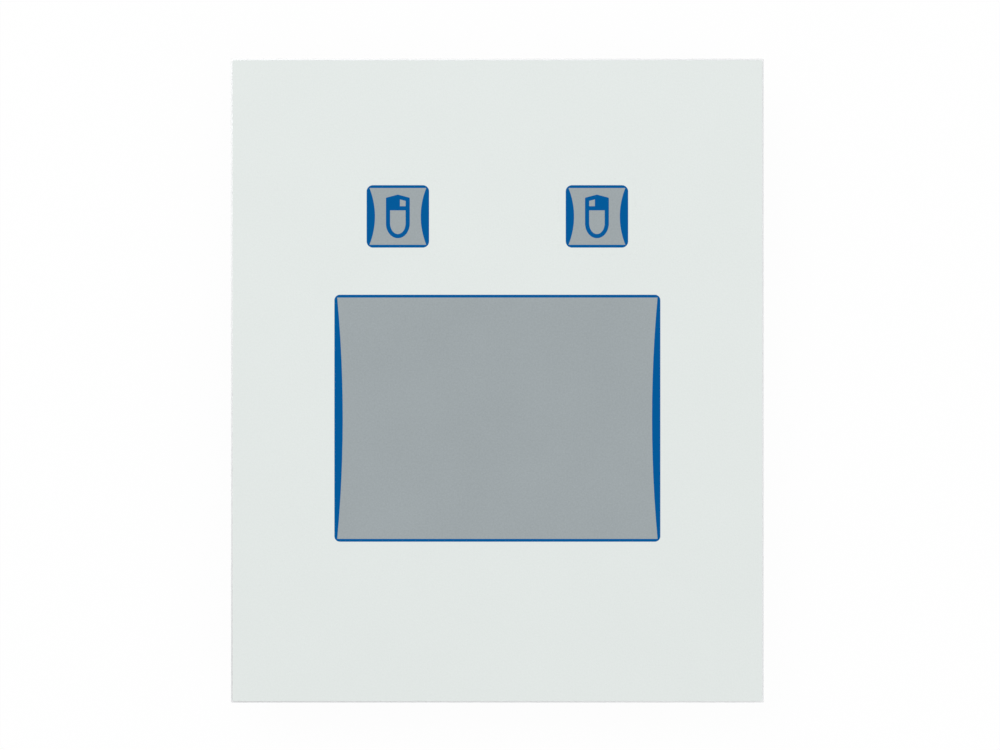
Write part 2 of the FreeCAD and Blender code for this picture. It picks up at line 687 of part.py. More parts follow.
def switch_parts(side, sign):
    """A tact switch, from the board up: base, dome, stem and metal cover."""
    centre = (f"{sign}key_spacing / 2", "key_rise", "board_front")

    piece = Piece(f"{side}_switch_base", *centre)
    drawing = piece.sketch("block")
    rectangle(drawing, "switch_side", "switch_side")
    piece.pad(drawing, "switch_base_height")
    drawing = piece.sketch("cavity", "switch_base_height")
    circle(drawing, "switch_cavity")
    piece.pocket(drawing, "switch_base_height - switch_floor")
    drawing = piece.sketch("rivets", "switch_base_height")
    for x, y in four_places("switch_side / 2 - stake_inset", "switch_side / 2 - stake_inset"):
        circle(drawing, "stake_diameter", x, y)
    piece.pad(drawing, "switch_cover_thickness + stake_height")

    piece = Piece(f"{side}_switch_cover", *centre)
    drawing = piece.sketch("sheet", "switch_base_height")
    rectangle(drawing, "switch_side - 2 * switch_cover_inset", "switch_side - 2 * switch_cover_inset")
    circle(drawing, "switch_stem_diameter + 2 * switch_stem_clearance")
    for x, y in four_places("switch_side / 2 - stake_inset", "switch_side / 2 - stake_inset"):
        circle(drawing, "stake_diameter + 2 * stake_clearance", x, y)
    piece.pad(drawing, "switch_cover_thickness")

    dome_front = "switch_floor + dome_height + dome_thickness"
    flange_rear = "switch_base_height - switch_flange_thickness"
    piece = Piece(f"{side}_switch_stem", *centre)
    drawing = piece.sketch("flange", flange_rear)
    circle(drawing, "switch_flange_diameter")
    piece.pad(drawing, "switch_flange_thickness")
    drawing = piece.sketch("post", "switch_base_height")
    circle(drawing, "switch_stem_diameter")
    piece.pad(drawing, "switch_height - switch_base_height")
    drawing = piece.sketch("nib", flange_rear)
    circle(drawing, "nib_diameter")
    piece.pad(drawing, f"{flange_rear} - ({dome_front})", down=True)

    switch_dome(side, centre)
    switch_terminals(side, sign)


def switch_dome(side, centre):
    """The snap dome: a thin cap with a flat top where the stem's nib rests."""
    piece = Piece(f"{side}_switch_dome", *centre)
    drawing = piece.sketch("section", role="XZ_Plane")
    low, high = "switch_floor", "switch_floor + dome_height"
    middle_x, middle_z = "(dome_flat + dome_radius) / 2", f"{low} + dome_height / 2"
    normal_x, normal_z = "dome_height / dome_chord", "(dome_radius - dome_flat) / dome_chord"
    inner = (f"{middle_x} + dome_bulge * {normal_x}", f"{middle_z} + dome_bulge * {normal_z}")
    thick = "(dome_bulge + dome_thickness)"
    outer = (f"{middle_x} + {thick} * {normal_x}", f"{middle_z} + {thick} * {normal_z}")
    outline(drawing, [("0", high), ("dome_flat", high), ("dome_radius", low),
                      ("dome_radius + dome_thickness", low), ("dome_flat", f"{high} + dome_thickness"),
                      ("0", f"{high} + dome_thickness")], {1: inner, 3: outer})
    piece.revolve(drawing)


def switch_terminals(side, sign):
    """Four solder pins, down the sides of the base and through the board."""
    pins = []
    for index, (x, y) in enumerate(four_places("terminal_x", "terminal_pitch / 2")):
        pins.append(block(f"{side}_switch_pin_{index + 1}", "terminal_thickness", "terminal_width",
                          "terminal_rise + board_thickness + terminal_stub",
                          f"{sign}key_spacing / 2 + {x}", f"key_rise + {y}", "board_rear - terminal_stub"))
    combine("Compound", f"{side}_switch_terminals", Links=pins)


def touch_sensor():
    """The sensor board behind the touch field, and the parts on its back."""
    piece = Piece("touch_sensor_board")
    drawing = piece.sketch("edge", "sensor_rear")
    rounded_rectangle(drawing, "field_width", "field_height", "sensor_corner", y="-field_drop")
    piece.pad(drawing, "sensor_thickness")

    x, y = "touch_chip_x", "touch_chip_y - field_drop"
    chip_size = ("touch_chip_side", "touch_chip_side", "touch_chip_height")
    sub_parts.append(block("touch_controller_chip", *chip_size, x, y, "sensor_rear - touch_chip_height"))
    small_parts("sensor_small_parts", "touch_chip_side", x, y, "sensor_rear - small_part_height")


def small_parts(label, chip_side, x, y, z):
    """Two columns of three chip parts, one on each side of a chip."""
    parts = []
    reach = f"({chip_side} / 2 + small_part_gap + small_part_length / 2)"
    for column in (-1, 1):
        for row in (-1, 0, 1):
            parts.append(block(f"{label}_{len(parts) + 1}", "small_part_length", "small_part_width",
                               "small_part_height", f"{x} + {column} * {reach}",
                               f"{y} + {row} * small_part_pitch", z))
    combine("Compound", label, Links=parts)


def cable_socket(label, level):
    """A flat-cable socket, its mouth towards the keys, with the slot that the cable goes in."""
    piece = Piece(label, y="socket_mouth", z=level)
    drawing = piece.sketch("block")
    rectangle(drawing, "socket_width", "socket_depth", y="-socket_depth / 2")
    piece.pad(drawing, "socket_height")
    drawing = piece.sketch("slot", role="XZ_Plane")
    rectangle(drawing, "cable_width + 2 * cable_slot_gap", "cable_thickness + 2 * cable_slot_gap",
              y="socket_height / 2")
    piece.pocket(drawing, "cable_insertion + cable_slot_gap", up=True)


def sensor_flat_cable():
    """The flat cable: out of the sensor's socket, round a half turn, into the board's socket."""
    piece = Piece("sensor_flat_cable")
    drawing = piece.sketch("side", role="YZ_Plane")
    inner, outer = "bend_radius - cable_thickness / 2", "bend_radius + cable_thickness / 2"
    middle = "(sensor_cable_level + board_cable_level) / 2"
    end = "socket_mouth - cable_insertion"
    outline(drawing, [(end, f"{middle} - ({outer})"), ("bend_y", f"{middle} - ({outer})"),
                      ("bend_y", f"{middle} + {outer}"), (end, f"{middle} + {outer}"),
                      (end, f"{middle} + {inner}"), ("bend_y", f"{middle} + {inner}"),
                      ("bend_y", f"{middle} - ({inner})"), (end, f"{middle} - ({inner})")],
            {1: (f"bend_y + {outer}", middle), 5: (f"bend_y + {inner}", middle)})
    piece.pad(drawing, "cable_width", both_ways=True)


def sensor_foam_pad():
    """The foam behind the sensor board, cut out round the chip and for the cable."""
    piece = Piece("sensor_foam_pad")
    drawing = piece.sketch("edge", "plate_rear")
    rounded_rectangle(drawing, "field_width - 2 * foam_inset", "field_height - 2 * foam_inset",
                      "sensor_corner", y="-field_drop")
    piece.pad(drawing, "sensor_rear - plate_rear")
    drawing = piece.sketch("chip_opening", "sensor_rear")
    rectangle(drawing, "touch_chip_side + 2 * (small_part_gap + small_part_length + foam_gap)",
              "touch_chip_side + 2 * foam_gap", "touch_chip_x", "touch_chip_y - field_drop")
    piece.pocket(drawing, "sensor_rear - plate_rear")
    drawing = piece.sketch("cable_notch", "sensor_rear")
    low, high = "(socket_mouth - socket_depth - foam_gap)", "window_top"
    rectangle(drawing, "socket_width + 2 * foam_gap", f"{high} - {low}", "0", f"({low} + {high}) / 2")
    piece.pocket(drawing, "sensor_rear - plate_rear")


def sensor_backing_plate():
    """The plate that presses foam and sensor up to the film, with a slot for the cable."""
    piece = Piece("sensor_backing_plate")
    drawing = piece.sketch("edge", "backing_rear")
    rounded_rectangle(drawing, "backing_width", "backing_height", "backing_corner", y="-field_drop")
    piece.pad(drawing, "backing_thickness")
    drawing = piece.sketch("cable_slot", "plate_rear")
    rectangle(drawing, "cable_width + 2 * cable_side_gap", "window_top - bend_y", "0",
              "(window_top + bend_y) / 2")
    piece.pocket(drawing, "backing_thickness")
    drawing = piece.sketch("screw_holes", "plate_rear")
    for x, y in backing_screw_places():
        circle(drawing, "backing_screw_diameter + 2 * hole_clearance", x, y)
    piece.pocket(drawing, "backing_thickness")


def backing_plate_screws():
    """Six pan-head screws through the backing plate into the front plate."""
    piece = Piece("backing_plate_screws")
    drawing = piece.sketch("threads", "backing_rear")
    for x, y in backing_screw_places():
        circle(drawing, "backing_screw_diameter", x, y)
    piece.pad(drawing, "backing_thickness + backing_screw_grip")
    drawing = piece.sketch("heads", "backing_rear")
    for x, y in backing_screw_places():
        circle(drawing, "backing_screw_head", x, y)
    piece.pad(drawing, "backing_screw_head_height", down=True)


def controller_board():
    """The controller board with its spacer holes and pin holes, and the parts on its back."""
    piece = Piece("controller_board")
    drawing = piece.sketch("edge", "board_rear")
    rounded_rectangle(drawing, "board_width", "board_height", "board_corner")
    piece.pad(drawing, "board_thickness")
    drawing = piece.sketch("holes", "board_front")
    for x, y in four_places("spacer_x", "spacer_y"):
        circle(drawing, "spacer_thread + 2 * hole_clearance", x, y)
    for key_x, key_y in key_places():
        for x, y in four_places("terminal_x", "terminal_pitch / 2"):
            circle(drawing, "terminal_hole", f"{key_x} + {x}", f"{key_y} + {y}")
    piece.pocket(drawing, "board_thickness")

    sub_parts.append(block("usb_controller_chip", "usb_chip_side", "usb_chip_side", "usb_chip_height",
                           "usb_chip_x", "usb_chip_y", "board_rear - usb_chip_height"))
    regulator_size = ("regulator_length", "regulator_width", "regulator_height")
    sub_parts.append(block("voltage_regulator", *regulator_size,
                           "regulator_x", "regulator_y", "board_rear - regulator_height"))
    small_parts("board_small_parts", "usb_chip_side", "usb_chip_x", "usb_chip_y",
                "board_rear - small_part_height")

    piece = Piece("clock_crystal", "crystal_x", "crystal_y")
    drawing = piece.sketch("can", "board_rear")
    rounded_rectangle(drawing, "crystal_length", "crystal_width", "crystal_corner")
    piece.pad(drawing, "crystal_height", down=True)


def usb_socket():
    """The USB socket behind the board, its mouth in the cover's upper wall."""
    place_here = ("usb_offset", "usb_mouth", "board_rear")
    piece = Piece("usb_socket_shell", *place_here)
    drawing = piece.sketch("section", role="XZ_Plane")
    outline(drawing, [("usb_width / 2", "0"), ("-usb_width / 2", "0"),
                      ("-usb_width / 2", "usb_chamfer - usb_height"),
                      ("usb_chamfer - usb_width / 2", "-usb_height"),
                      ("usb_width / 2 - usb_chamfer", "-usb_height"),
                      ("usb_width / 2", "usb_chamfer - usb_height")])
    hull = piece.pad(drawing, "usb_length")
    mouth = [f"Face{index + 1}" for index, face in enumerate(hull.Shape.Faces)
             if abs(face.BoundBox.YMin) < 1e-6 and abs(face.BoundBox.YMax) < 1e-6]
    made = piece.dress("Thickness", hull, mouth, Value="usb_sheet")
    made.Reversed = True
    document.recompute()

    centre_z = "board_rear - usb_height / 2"
    block_width = "usb_width - 2 * (usb_sheet + usb_block_gap)"
    block_height = "usb_height - 2 * usb_sheet - 2 * usb_block_gap - usb_chamfer"
    rear = "usb_mouth - usb_length + usb_sheet + usb_block_gap"
    block_top = "board_rear - usb_sheet - usb_block_gap"
    back = block("usb_tongue_block", block_width, "usb_block_length", block_height,
                 "usb_offset", f"{rear} + usb_block_length / 2", f"{block_top} - ({block_height})")
    tip = "usb_mouth - tongue_setback"
    length = f"({tip} - ({rear}))"
    tongue = block("usb_tongue_blade", "tongue_width", length, "tongue_thickness",
                   "usb_offset", f"{tip} - {length} / 2", f"{centre_z} - tongue_thickness / 2")
    combine("Fuse", "usb_socket_tongue", Base=back, Tool=tongue)

    contacts = []
    contact_length = f"({length} - usb_block_length - contact_setback)"
    for index in range(-2, 3):
        contacts.append(block(f"usb_contact_{index + 3}",
                              "contact_width", contact_length, "contact_thickness",
                              f"usb_offset + {index} * contact_pitch",
                              f"{tip} - contact_setback - {contact_length} / 2",
                              f"{centre_z} - tongue_thickness / 2 - contact_thickness"))
    combine("Compound", "usb_socket_contacts", Links=contacts)


def spacers():
    """Hexagon spacers: four pressed into the plate, four between the board and the cover."""
    places = four_places("spacer_x", "spacer_y")
    bore = "spacer_thread + 2 * thread_gap"

    piece = Piece("plate_spacers")
    drawing = piece.sketch("hexagons", "board_front")
    for x, y in places:
        hexagon(drawing, "spacer_across", x, y)
    piece.pad(drawing, "switch_height")
    drawing = piece.sketch("spigots", "plate_rear")
    for x, y in places:
        circle(drawing, "spigot_diameter", x, y)
    piece.pad(drawing, "spigot_depth")
    drawing = piece.sketch("bores", "board_front")
    for x, y in places:
        circle(drawing, bore, x, y)
    piece.pocket(drawing, "spacer_stud_length - board_thickness + thread_runout", up=True)

    piece = Piece("cover_spacers")
    drawing = piece.sketch("hexagons", "cover_sheet")
    for x, y in places:
        hexagon(drawing, "spacer_across", x, y)
    piece.pad(drawing, "rear_space")
    drawing = piece.sketch("studs", "board_rear")
    for x, y in places:
        circle(drawing, "spacer_thread", x, y)
    piece.pad(drawing, "spacer_stud_length")
    drawing = piece.sketch("bores", "cover_sheet")
    for x, y in places:
        circle(drawing, bore, x, y)
    piece.pocket(drawing, "cover_screw_length - cover_sheet + thread_runout", up=True)


def rear_cover():
    """The sheet-metal tray over the electronics, with countersunk holes and the socket's opening."""
    piece = Piece("rear_cover")
    drawing = piece.sketch("edge")
    rounded_rectangle(drawing, "cover_width", "cover_height", "cover_corner")
    hull = piece.pad(drawing, "plate_rear")
    fold = piece.dress("Fillet", hull, piece.level_names(hull, "Edge", "0"), Radius="cover_bend")
    open_side = piece.level_names(fold, "Face", "plate_rear")
    shell = piece.dress("Thickness", fold, open_side, Value="cover_sheet")
    shell.Reversed = True
    document.recompute()

    drawing = piece.sketch("screw_holes")
    for x, y in four_places("spacer_x", "spacer_y"):
        circle(drawing, "spacer_thread + 2 * hole_clearance", x, y)
    piece.pocket(drawing, "cover_sheet", up=True)
    drawing = piece.sketch("countersinks")
    for x, y in four_places("spacer_x", "spacer_y"):
        circle(drawing, "cover_screw_head + 2 * hole_clearance", x, y)
    piece.pocket(drawing, "cone_height", up=True, taper="-45")

    drawing = piece.sketch("socket_opening", "-cover_height / 2 - usb_opening_gap", role="XZ_Plane")
    rectangle(drawing, "usb_width + 2 * usb_opening_gap", "usb_height + 2 * usb_opening_gap",
              "usb_offset", "board_rear - usb_height / 2")
    piece.pocket(drawing, "cover_sheet + 2 * usb_opening_gap", up=True)


def cover_screws():
    """Four countersunk screws, flush with the cover, with hexagon recesses."""
    places = four_places("spacer_x", "spacer_y")
    piece = Piece("cover_screws")
    drawing = piece.sketch("heads")
    for x, y in places:
        circle(drawing, "cover_screw_head", x, y)
    piece.pad(drawing, "cone_height", taper="-45")
    drawing = piece.sketch("threads", "cone_height")
    for x, y in places:
        circle(drawing, "spacer_thread", x, y)
    piece.pad(drawing, "cover_screw_length - cone_height")
    drawing = piece.sketch("recesses")
    for x, y in places:
        hexagon(drawing, "cover_screw_socket", x, y)
    piece.pocket(drawing, "cover_screw_socket_depth", up=True)


def panel_gasket():
    """The sealing band on the back of the plate, round the cover."""
    piece = Piece("panel_gasket")
    drawing = piece.sketch("band", "plate_rear - gasket_thickness")
    rounded_rectangle(drawing, "gasket_inner_width", "gasket_inner_height", "gasket_corner")
    rounded_rectangle(drawing, "gasket_inner_width + 2 * gasket_width",
                      "gasket_inner_height + 2 * gasket_width", "gasket_corner + gasket_width")
    piece.pad(drawing, "gasket_thickness")


def mounting_studs():
    """Four studs pressed into the back of the plate."""
    places = four_places("stud_x", "stud_y")
    piece = Piece("mounting_studs")
    drawing = piece.sketch("heads", "plate_rear")
    for x, y in places:
        circle(drawing, "stud_head", x, y)
    piece.pad(drawing, "stud_head_depth")
    drawing = piece.sketch("threads", "plate_rear")
    for x, y in places:
        circle(drawing, "stud_diameter", x, y)
    shank = piece.pad(drawing, "stud_length", down=True)
    tips = piece.level_names(shank, "Edge", "plate_rear - stud_length")
    piece.dress("Chamfer", shank, tips, Size="stud_chamfer")


def check():
    """Stops if a feature failed or a sub-part has no valid solid."""
    document.recompute()
    failed = [item.Label for item in document.Objects if {"Invalid", "Error"} & set(item.State)]
    broken = [item.Label for item in sub_parts
              if item.Shape.isNull() or not item.Shape.isValid() or not item.Shape.Solids]
    if failed or broken:
        raise RuntimeError(f"failed features: {failed}, sub-parts without a valid solid: {broken}")


def export():
    """Writes each sub-part to a STEP file of its own name."""
    os.makedirs("parts", exist_ok=True)
    for item in sub_parts:
        item.Shape.exportStep(f"parts/{item.Label}.step")
        print(f"{item.Label}: {len(item.Shape.Solids)} solids, {item.Shape.Volume:.1f} cubic mm")


front_plate()
film_adhesive()
front_film()
touch_field_prints()
for side, sign in SIDES:
    key_moving_parts(side, sign)
    key_prints(side, sign)
    switch_parts(side, sign)
touch_sensor()
cable_socket("sensor_cable_socket", "sensor_rear - socket_height")
cable_socket("board_cable_socket", "board_front")
sensor_flat_cable()
sensor_foam_pad()
sensor_backing_plate()
backing_plate_screws()
controller_board()
usb_socket()
spacers()
rear_cover()
cover_screws()
panel_gasket()
mounting_studs()
check()
export()
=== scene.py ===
import json
import math

import bmesh
import bpy
from mathutils import Matrix, Vector

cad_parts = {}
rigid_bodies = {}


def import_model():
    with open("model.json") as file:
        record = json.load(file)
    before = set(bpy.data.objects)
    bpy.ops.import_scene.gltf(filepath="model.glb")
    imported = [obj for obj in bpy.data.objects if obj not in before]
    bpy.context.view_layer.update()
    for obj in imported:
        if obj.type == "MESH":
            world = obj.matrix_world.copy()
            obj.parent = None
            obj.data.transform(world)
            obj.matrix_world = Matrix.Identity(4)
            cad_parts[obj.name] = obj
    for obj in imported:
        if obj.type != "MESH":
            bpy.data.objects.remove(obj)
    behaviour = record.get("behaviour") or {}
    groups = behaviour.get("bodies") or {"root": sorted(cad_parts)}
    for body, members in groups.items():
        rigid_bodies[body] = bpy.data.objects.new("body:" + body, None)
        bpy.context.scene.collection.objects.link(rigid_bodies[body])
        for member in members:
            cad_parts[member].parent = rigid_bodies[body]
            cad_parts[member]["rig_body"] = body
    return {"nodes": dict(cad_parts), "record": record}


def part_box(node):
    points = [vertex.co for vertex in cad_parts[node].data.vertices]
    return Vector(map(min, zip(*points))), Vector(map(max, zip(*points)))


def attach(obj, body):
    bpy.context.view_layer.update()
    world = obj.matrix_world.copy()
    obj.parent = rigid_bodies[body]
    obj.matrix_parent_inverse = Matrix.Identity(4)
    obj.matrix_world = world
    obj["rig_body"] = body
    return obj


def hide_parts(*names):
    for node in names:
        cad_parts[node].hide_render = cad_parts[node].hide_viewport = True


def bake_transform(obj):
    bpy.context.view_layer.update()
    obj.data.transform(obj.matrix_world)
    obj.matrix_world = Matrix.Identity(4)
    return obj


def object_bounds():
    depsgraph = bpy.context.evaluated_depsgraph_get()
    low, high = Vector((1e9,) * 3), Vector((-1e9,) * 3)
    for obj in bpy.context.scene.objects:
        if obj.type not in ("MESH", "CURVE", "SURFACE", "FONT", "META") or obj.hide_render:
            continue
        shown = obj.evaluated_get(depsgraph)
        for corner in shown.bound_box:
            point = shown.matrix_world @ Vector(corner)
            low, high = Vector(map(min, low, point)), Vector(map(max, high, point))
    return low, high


# The looks of a touchpad that is built into a panel: a printed film on an aluminium plate, seen
# straight from the front, and behind it a pressed cover, a gasket, studs, a socket and electronics.
# Metres in the row frame: +Z points out of the touch surface, +Y from the touch field to the keys.

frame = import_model()
cad_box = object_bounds()

MM = 0.001

# Picture: the middle of the view, its scale, and the lens and sensor in millimetres
VIEW_X, VIEW_Y = 0.52 * MM, 1.12 * MM
PIXELS_PER_MM = 5.0145
PICTURE_PIXELS = 1000
LENS = 135
SENSOR = 36

# Light: the room's even share, and the share and place of each soft lamp
ROOM_LIGHT = 0.62
LAMPS = (("key_lamp", 0.31, (-0.35, 0.6, 1.1)), ("fill_lamp", 0.12, (0.6, -0.3, 1.0)))
LAMP_SIZE = 0.9
WHITE = (1, 1, 1)

# Floor: how much of it shines by itself, half its side, and how far it lies under the cover
FLOOR_GLOW = 0.96
FLOOR_HALF = 4
FLOOR_GAP = 0.02 * MM

# Patterns of the boards and of the flat cable, in millimetres and in shares of a pitch
TRACK_FIELD = 9.0
TRACK_PITCH = 0.9
TRACK_SHARE = 0.4
ELECTRODE_PITCH = 5.0
ELECTRODE_GAP = 0.07
STRIP_PITCH = 0.5
STRIP_HALF = 0.32

# Chip parts: the plated ends, and the faces' mark that the finishes read
PLATED_SHARE = 0.22
PLATED_STEP = 0.03 * MM
PLATED_MARK = "plated"

# Copies of a node: vertices this near merge, faces this flat join, and edges this sharp are broken
MERGE = 1e-7
FLAT_DEGREES = 0.5
SHARP_DEGREES = 35
BEVEL_STEPS = 2

# Film: corner radii, and the strips round the keys, from a key's edge to a square about its middle;
# their outer row is tucked into the sheet
FILM_CORNER = 0.3 * MM
FIELD_CORNER = 1.1 * MM
KEY_CORNER = 1.25 * MM
CORNER_STEPS = 10
FLEX_HALF = 7.65 * MM
FLEX_STEPS = 12
FLEX_CORNER_STEPS = 6
FLEX_TUCK = 0.05 * MM
FLEX_TUCK_DEPTH = FLEX_TUCK / 10

# Snap domes of the switches
DOME_SHEET = 0.12 * MM
DOME_BULGE = 0.67
DOME_RINGS = 8
DOME_SIDES = 48

# Sheets that are wrapped round: vertices this near merge, and the share of a rod between its ends
SEAM = 0.001 * MM
ROD_INSIDE = 0.4999

# Threads: rows to a turn, depth as a share of the pitch, and the flanks' slope and start
THREAD_ROWS = 6
THREAD_SHARE = 0.55
FLANK_SLOPE = 1.25
FLANK_START = 0.125

# Studs: the rod, its blunt tip, and the head that is pressed into the plate
STUD_SIDES = 32
STUD_RADIUS = 1.5 * MM
STUD_PITCH = 0.5 * MM
STUD_LENGTH = 10 * MM
STUD_TIP = 0.4 * MM
STUD_HEAD = 4.6 * MM
STUD_SUNK = 1.5 * MM
STUD_HEAD_GAP = 0.02 * MM

# Screws: sides of rod and head, the tip's share of the radius, and the hexagon recess
SCREW_SIDES = 24
HEAD_SIDES = 48
SCREW_TIP_SHARE = 0.75
RECESS_EDGE = 0.06 * MM
RECESS_CONE = 0.15

# Chips: the moulded body, and the leads along each side
STAND_OFF = 0.1 * MM
CHIP_SLANT = 0.1 * MM
CHIP_LEADS = 11
LEAD_PITCH = 0.45 * MM
LEAD_SHARE = 0.45
LEAD_REACH = 0.7 * MM
LEAD_BEND = 0.4
LEAD_SHEET = 0.13 * MM


class Value:
    """A socket's number; sums, products and comparisons of it add Math nodes."""

    def __init__(self, graph, socket):
        self.graph = graph
        self.socket = socket

    def math(self, operation, *numbers):
        return self.graph.node("ShaderNodeMath", {"operation": operation}, dict(enumerate(numbers)))

    def __add__(self, other):
        return self.math("ADD", self, other)

    def __sub__(self, other):
        return self.math("SUBTRACT", self, other)

    def __rsub__(self, other):
        return self.math("SUBTRACT", other, self)

    def __mul__(self, other):
        return self.math("MULTIPLY", self, other)

    def __truediv__(self, other):
        return self.math("DIVIDE", self, other)

    def __mod__(self, other):
        return self.math("FLOORED_MODULO", self, other)

    def __gt__(self, other):
        return self.math("GREATER_THAN", self, other)

    def __lt__(self, other):
        return self.math("LESS_THAN", self, other)

    def __abs__(self):
        return self.math("ABSOLUTE", self)

    def cos(self):
        return self.math("COSINE", self)

    def sin(self):
        return self.math("SINE", self)

    def at_least(self, other):
        return self.math("MAXIMUM", self, other)

    def at_most(self, other):
        return self.math("MINIMUM", self, other)

    __radd__ = __add__
    __rmul__ = __mul__


class Graph:
    """A node tree that is written as expressions."""

    def __init__(self, tree):
        self.tree = tree
        self.tree.nodes.clear()

    def node(self, kind, settings=None, inputs=None, output=0):
        """Adds a node, sets it up, then fills or links its sockets; gives back the named outputs."""
        made = self.tree.nodes.new(kind)
        for name, value in (settings or {}).items():
            if name == "items":
                while len(made.index_switch_items) < value:
                    made.index_switch_items.new()
            else:
                setattr(made, name, value)
        for name, value in (inputs or {}).items():
            if isinstance(value, Value):
                self.tree.links.new(value.socket, made.inputs[name])
            else:
                made.inputs[name].default_value = value
        if not made.outputs:
            return made
        if isinstance(output, tuple):
            return [Value(self, made.outputs[name]) for name in output]
        return Value(self, made.outputs[output])

    def mix(self, share, first, second):
        """A colour between two others."""
        return self.node("ShaderNodeMix", {"data_type": "RGBA"}, {0: share, 6: first, 7: second}, 2)

    def split(self, vector):
        return self.node("ShaderNodeSeparateXYZ", {}, {0: vector}, (0, 1, 2))


class Finish(Graph):
    """A surface's material. Its patterns are read in millimetres of the piece's own space."""

    def __init__(self, name):
        self.material = bpy.data.materials.new(f"{name}_finish")
        self.material.use_nodes = True
        super().__init__(self.material.node_tree)
        place = self.node("ShaderNodeTexCoord", output="Object")
        self.place = self.node("ShaderNodeVectorMath", {"operation": "SCALE"}, {0: place, "Scale": 1 / MM})

    def stretched(self, size, along):
        """The place, counted in pattern sizes along each axis."""
        sizes = [size * way for way in along]
        return self.node("ShaderNodeVectorMath", {"operation": "DIVIDE"}, {0: self.place, 1: sizes})

    def noise(self, size, detail=2.0, along=(1, 1, 1)):
        """Clouds about this many millimetres across, from 0 to 1."""
        inputs = {"Vector": self.stretched(size, along), "Scale": 1.0, "Detail": detail}
        return self.node("ShaderNodeTexNoise", {}, inputs)

    def cells(self, size, along=(1, 1, 1), settings=None, output="Distance"):
        """Cells about this many millimetres across: the distance from their middles, or their tone."""
        inputs = {"Vector": self.stretched(size, along), "Scale": 1.0}
        return self.node("ShaderNodeTexVoronoi", settings or {}, inputs, output)

    def ramp(self, value, low, high):
        """0 below the low end, 1 above the high end, and smooth between them."""
        inputs = {"Value": value, "From Min": low, "From Max": high}
        return self.node("ShaderNodeMapRange", {"interpolation_type": "SMOOTHSTEP"}, inputs)

    def bump(self, height, depth):
        """The surface's normal over a height from 0 to 1 that stands for this depth in metres."""
        return self.node("ShaderNodeBump", {}, {"Height": height, "Distance": depth, "Strength": 1.0})

    def close(self, **sockets):
        """Feeds the shader and gives back the material."""
        named = {name.replace("_", " "): value for name, value in sockets.items()}
        shader = self.node("ShaderNodeBsdfPrincipled", {}, named)
        self.node("ShaderNodeOutputMaterial", {}, {"Surface": shader})
        return self.material


def tone(colour, share=1.0):
    """A colour made darker or lighter by a share."""
    return (*[channel * share for channel in colour], 1.0)


def printed_film(name, colour, mottle, sheen):
    """Polyester printed from behind: an even colour with faint mottling, and a pebbled face."""
    finish = Finish(name)
    mottling = finish.noise(0.32)
    clouds = finish.noise(16.0)
    pebbles = finish.cells(0.13)
    paint = finish.mix(0.75 * mottling + 0.25 * clouds, tone(colour, 1 - mottle), tone(colour, 1 + mottle))
    relief = finish.bump(0.6 * mottling + 0.5 * pebbles, 0.012 * MM)
    return finish.close(Base_Color=paint, Roughness=0.42 + 0.2 * mottling, Normal=relief,
                        Specular_IOR_Level=sheen)


def clear_adhesive(name, colour):
    """A clear layer with small trapped bubbles."""
    finish = Finish(name)
    bubbles = finish.ramp(finish.cells(0.5), 0.10, 0.16)
    paint = finish.mix(bubbles, tone(colour, 1.1), tone(colour, 0.94))
    return finish.close(Base_Color=paint, Roughness=0.25 + 0.2 * finish.noise(2.0),
                        Normal=finish.bump(bubbles, 0.01 * MM))


def brushed_metal(name, colour, gloss, size, along, depth):
    """Metal with fine parallel streaks and slow changes of gloss."""
    finish = Finish(name)
    streaks = finish.noise(size, 4.0, along)
    clouds = finish.noise(22.0)
    paint = finish.mix(0.8 * streaks + 0.2 * clouds, tone(colour, 0.9), tone(colour, 1.08))
    return finish.close(Base_Color=paint, Metallic=1.0, Roughness=gloss + 0.16 * streaks + 0.08 * clouds,
                        Normal=finish.bump(streaks, depth))


def spangled_steel(name, colour):
    """Zinc-coated sheet: large faint crystals, rolling streaks and a fine grain."""
    finish = Finish(name)
    crystals = finish.cells(5.5, output="Color")
    streaks = finish.noise(0.25, 3.0, (1, 30, 1))
    grain = finish.noise(0.12)
    shade = 0.5 * crystals + 0.3 * streaks + 0.2 * grain
    return finish.close(Base_Color=finish.mix(shade, tone(colour, 0.86), tone(colour, 1.12)), Metallic=1.0,
                        Roughness=0.3 + 0.14 * crystals + 0.12 * grain,
                        Normal=finish.bump(0.4 * streaks + 0.6 * grain, 0.006 * MM))


def plated_metal(name, colour, second_colour, gloss):
    """A thin bright plating whose tint wanders, with fine scratches."""
    finish = Finish(name)
    drift = finish.noise(1.6)
    scratches = finish.noise(0.06, 3.0, (1, 14, 14))
    paint = finish.mix(finish.ramp(drift, 0.3, 0.7), tone(colour), tone(second_colour))
    return finish.close(Base_Color=paint, Metallic=1.0, Roughness=gloss + 0.12 * scratches + 0.08 * drift,
                        Normal=finish.bump(scratches, 0.003 * MM))


def cellular_rubber(name, colour, pore):
    """Cut foam or cellular rubber: open pores of two sizes in a dull skin, with painted shade darkening
    the pores.
    """
    finish = Finish(name)
    large = finish.ramp(finish.cells(pore), 0.12, 0.42)
    small = finish.ramp(finish.cells(0.4 * pore), 0.1, 0.4)
    skin = 0.65 * large + 0.35 * small
    # painted shade: the middles of the pores are coloured far darker than the skin, standing in for the
    # shade inside them
    paint = finish.mix(skin, tone(colour, 0.35), tone(colour, 1.25))
    return finish.close(Base_Color=paint, Roughness=0.82 + 0.12 * finish.noise(1.0),
                        Normal=finish.bump(skin, 0.5 * pore * MM), Specular_IOR_Level=0.3)


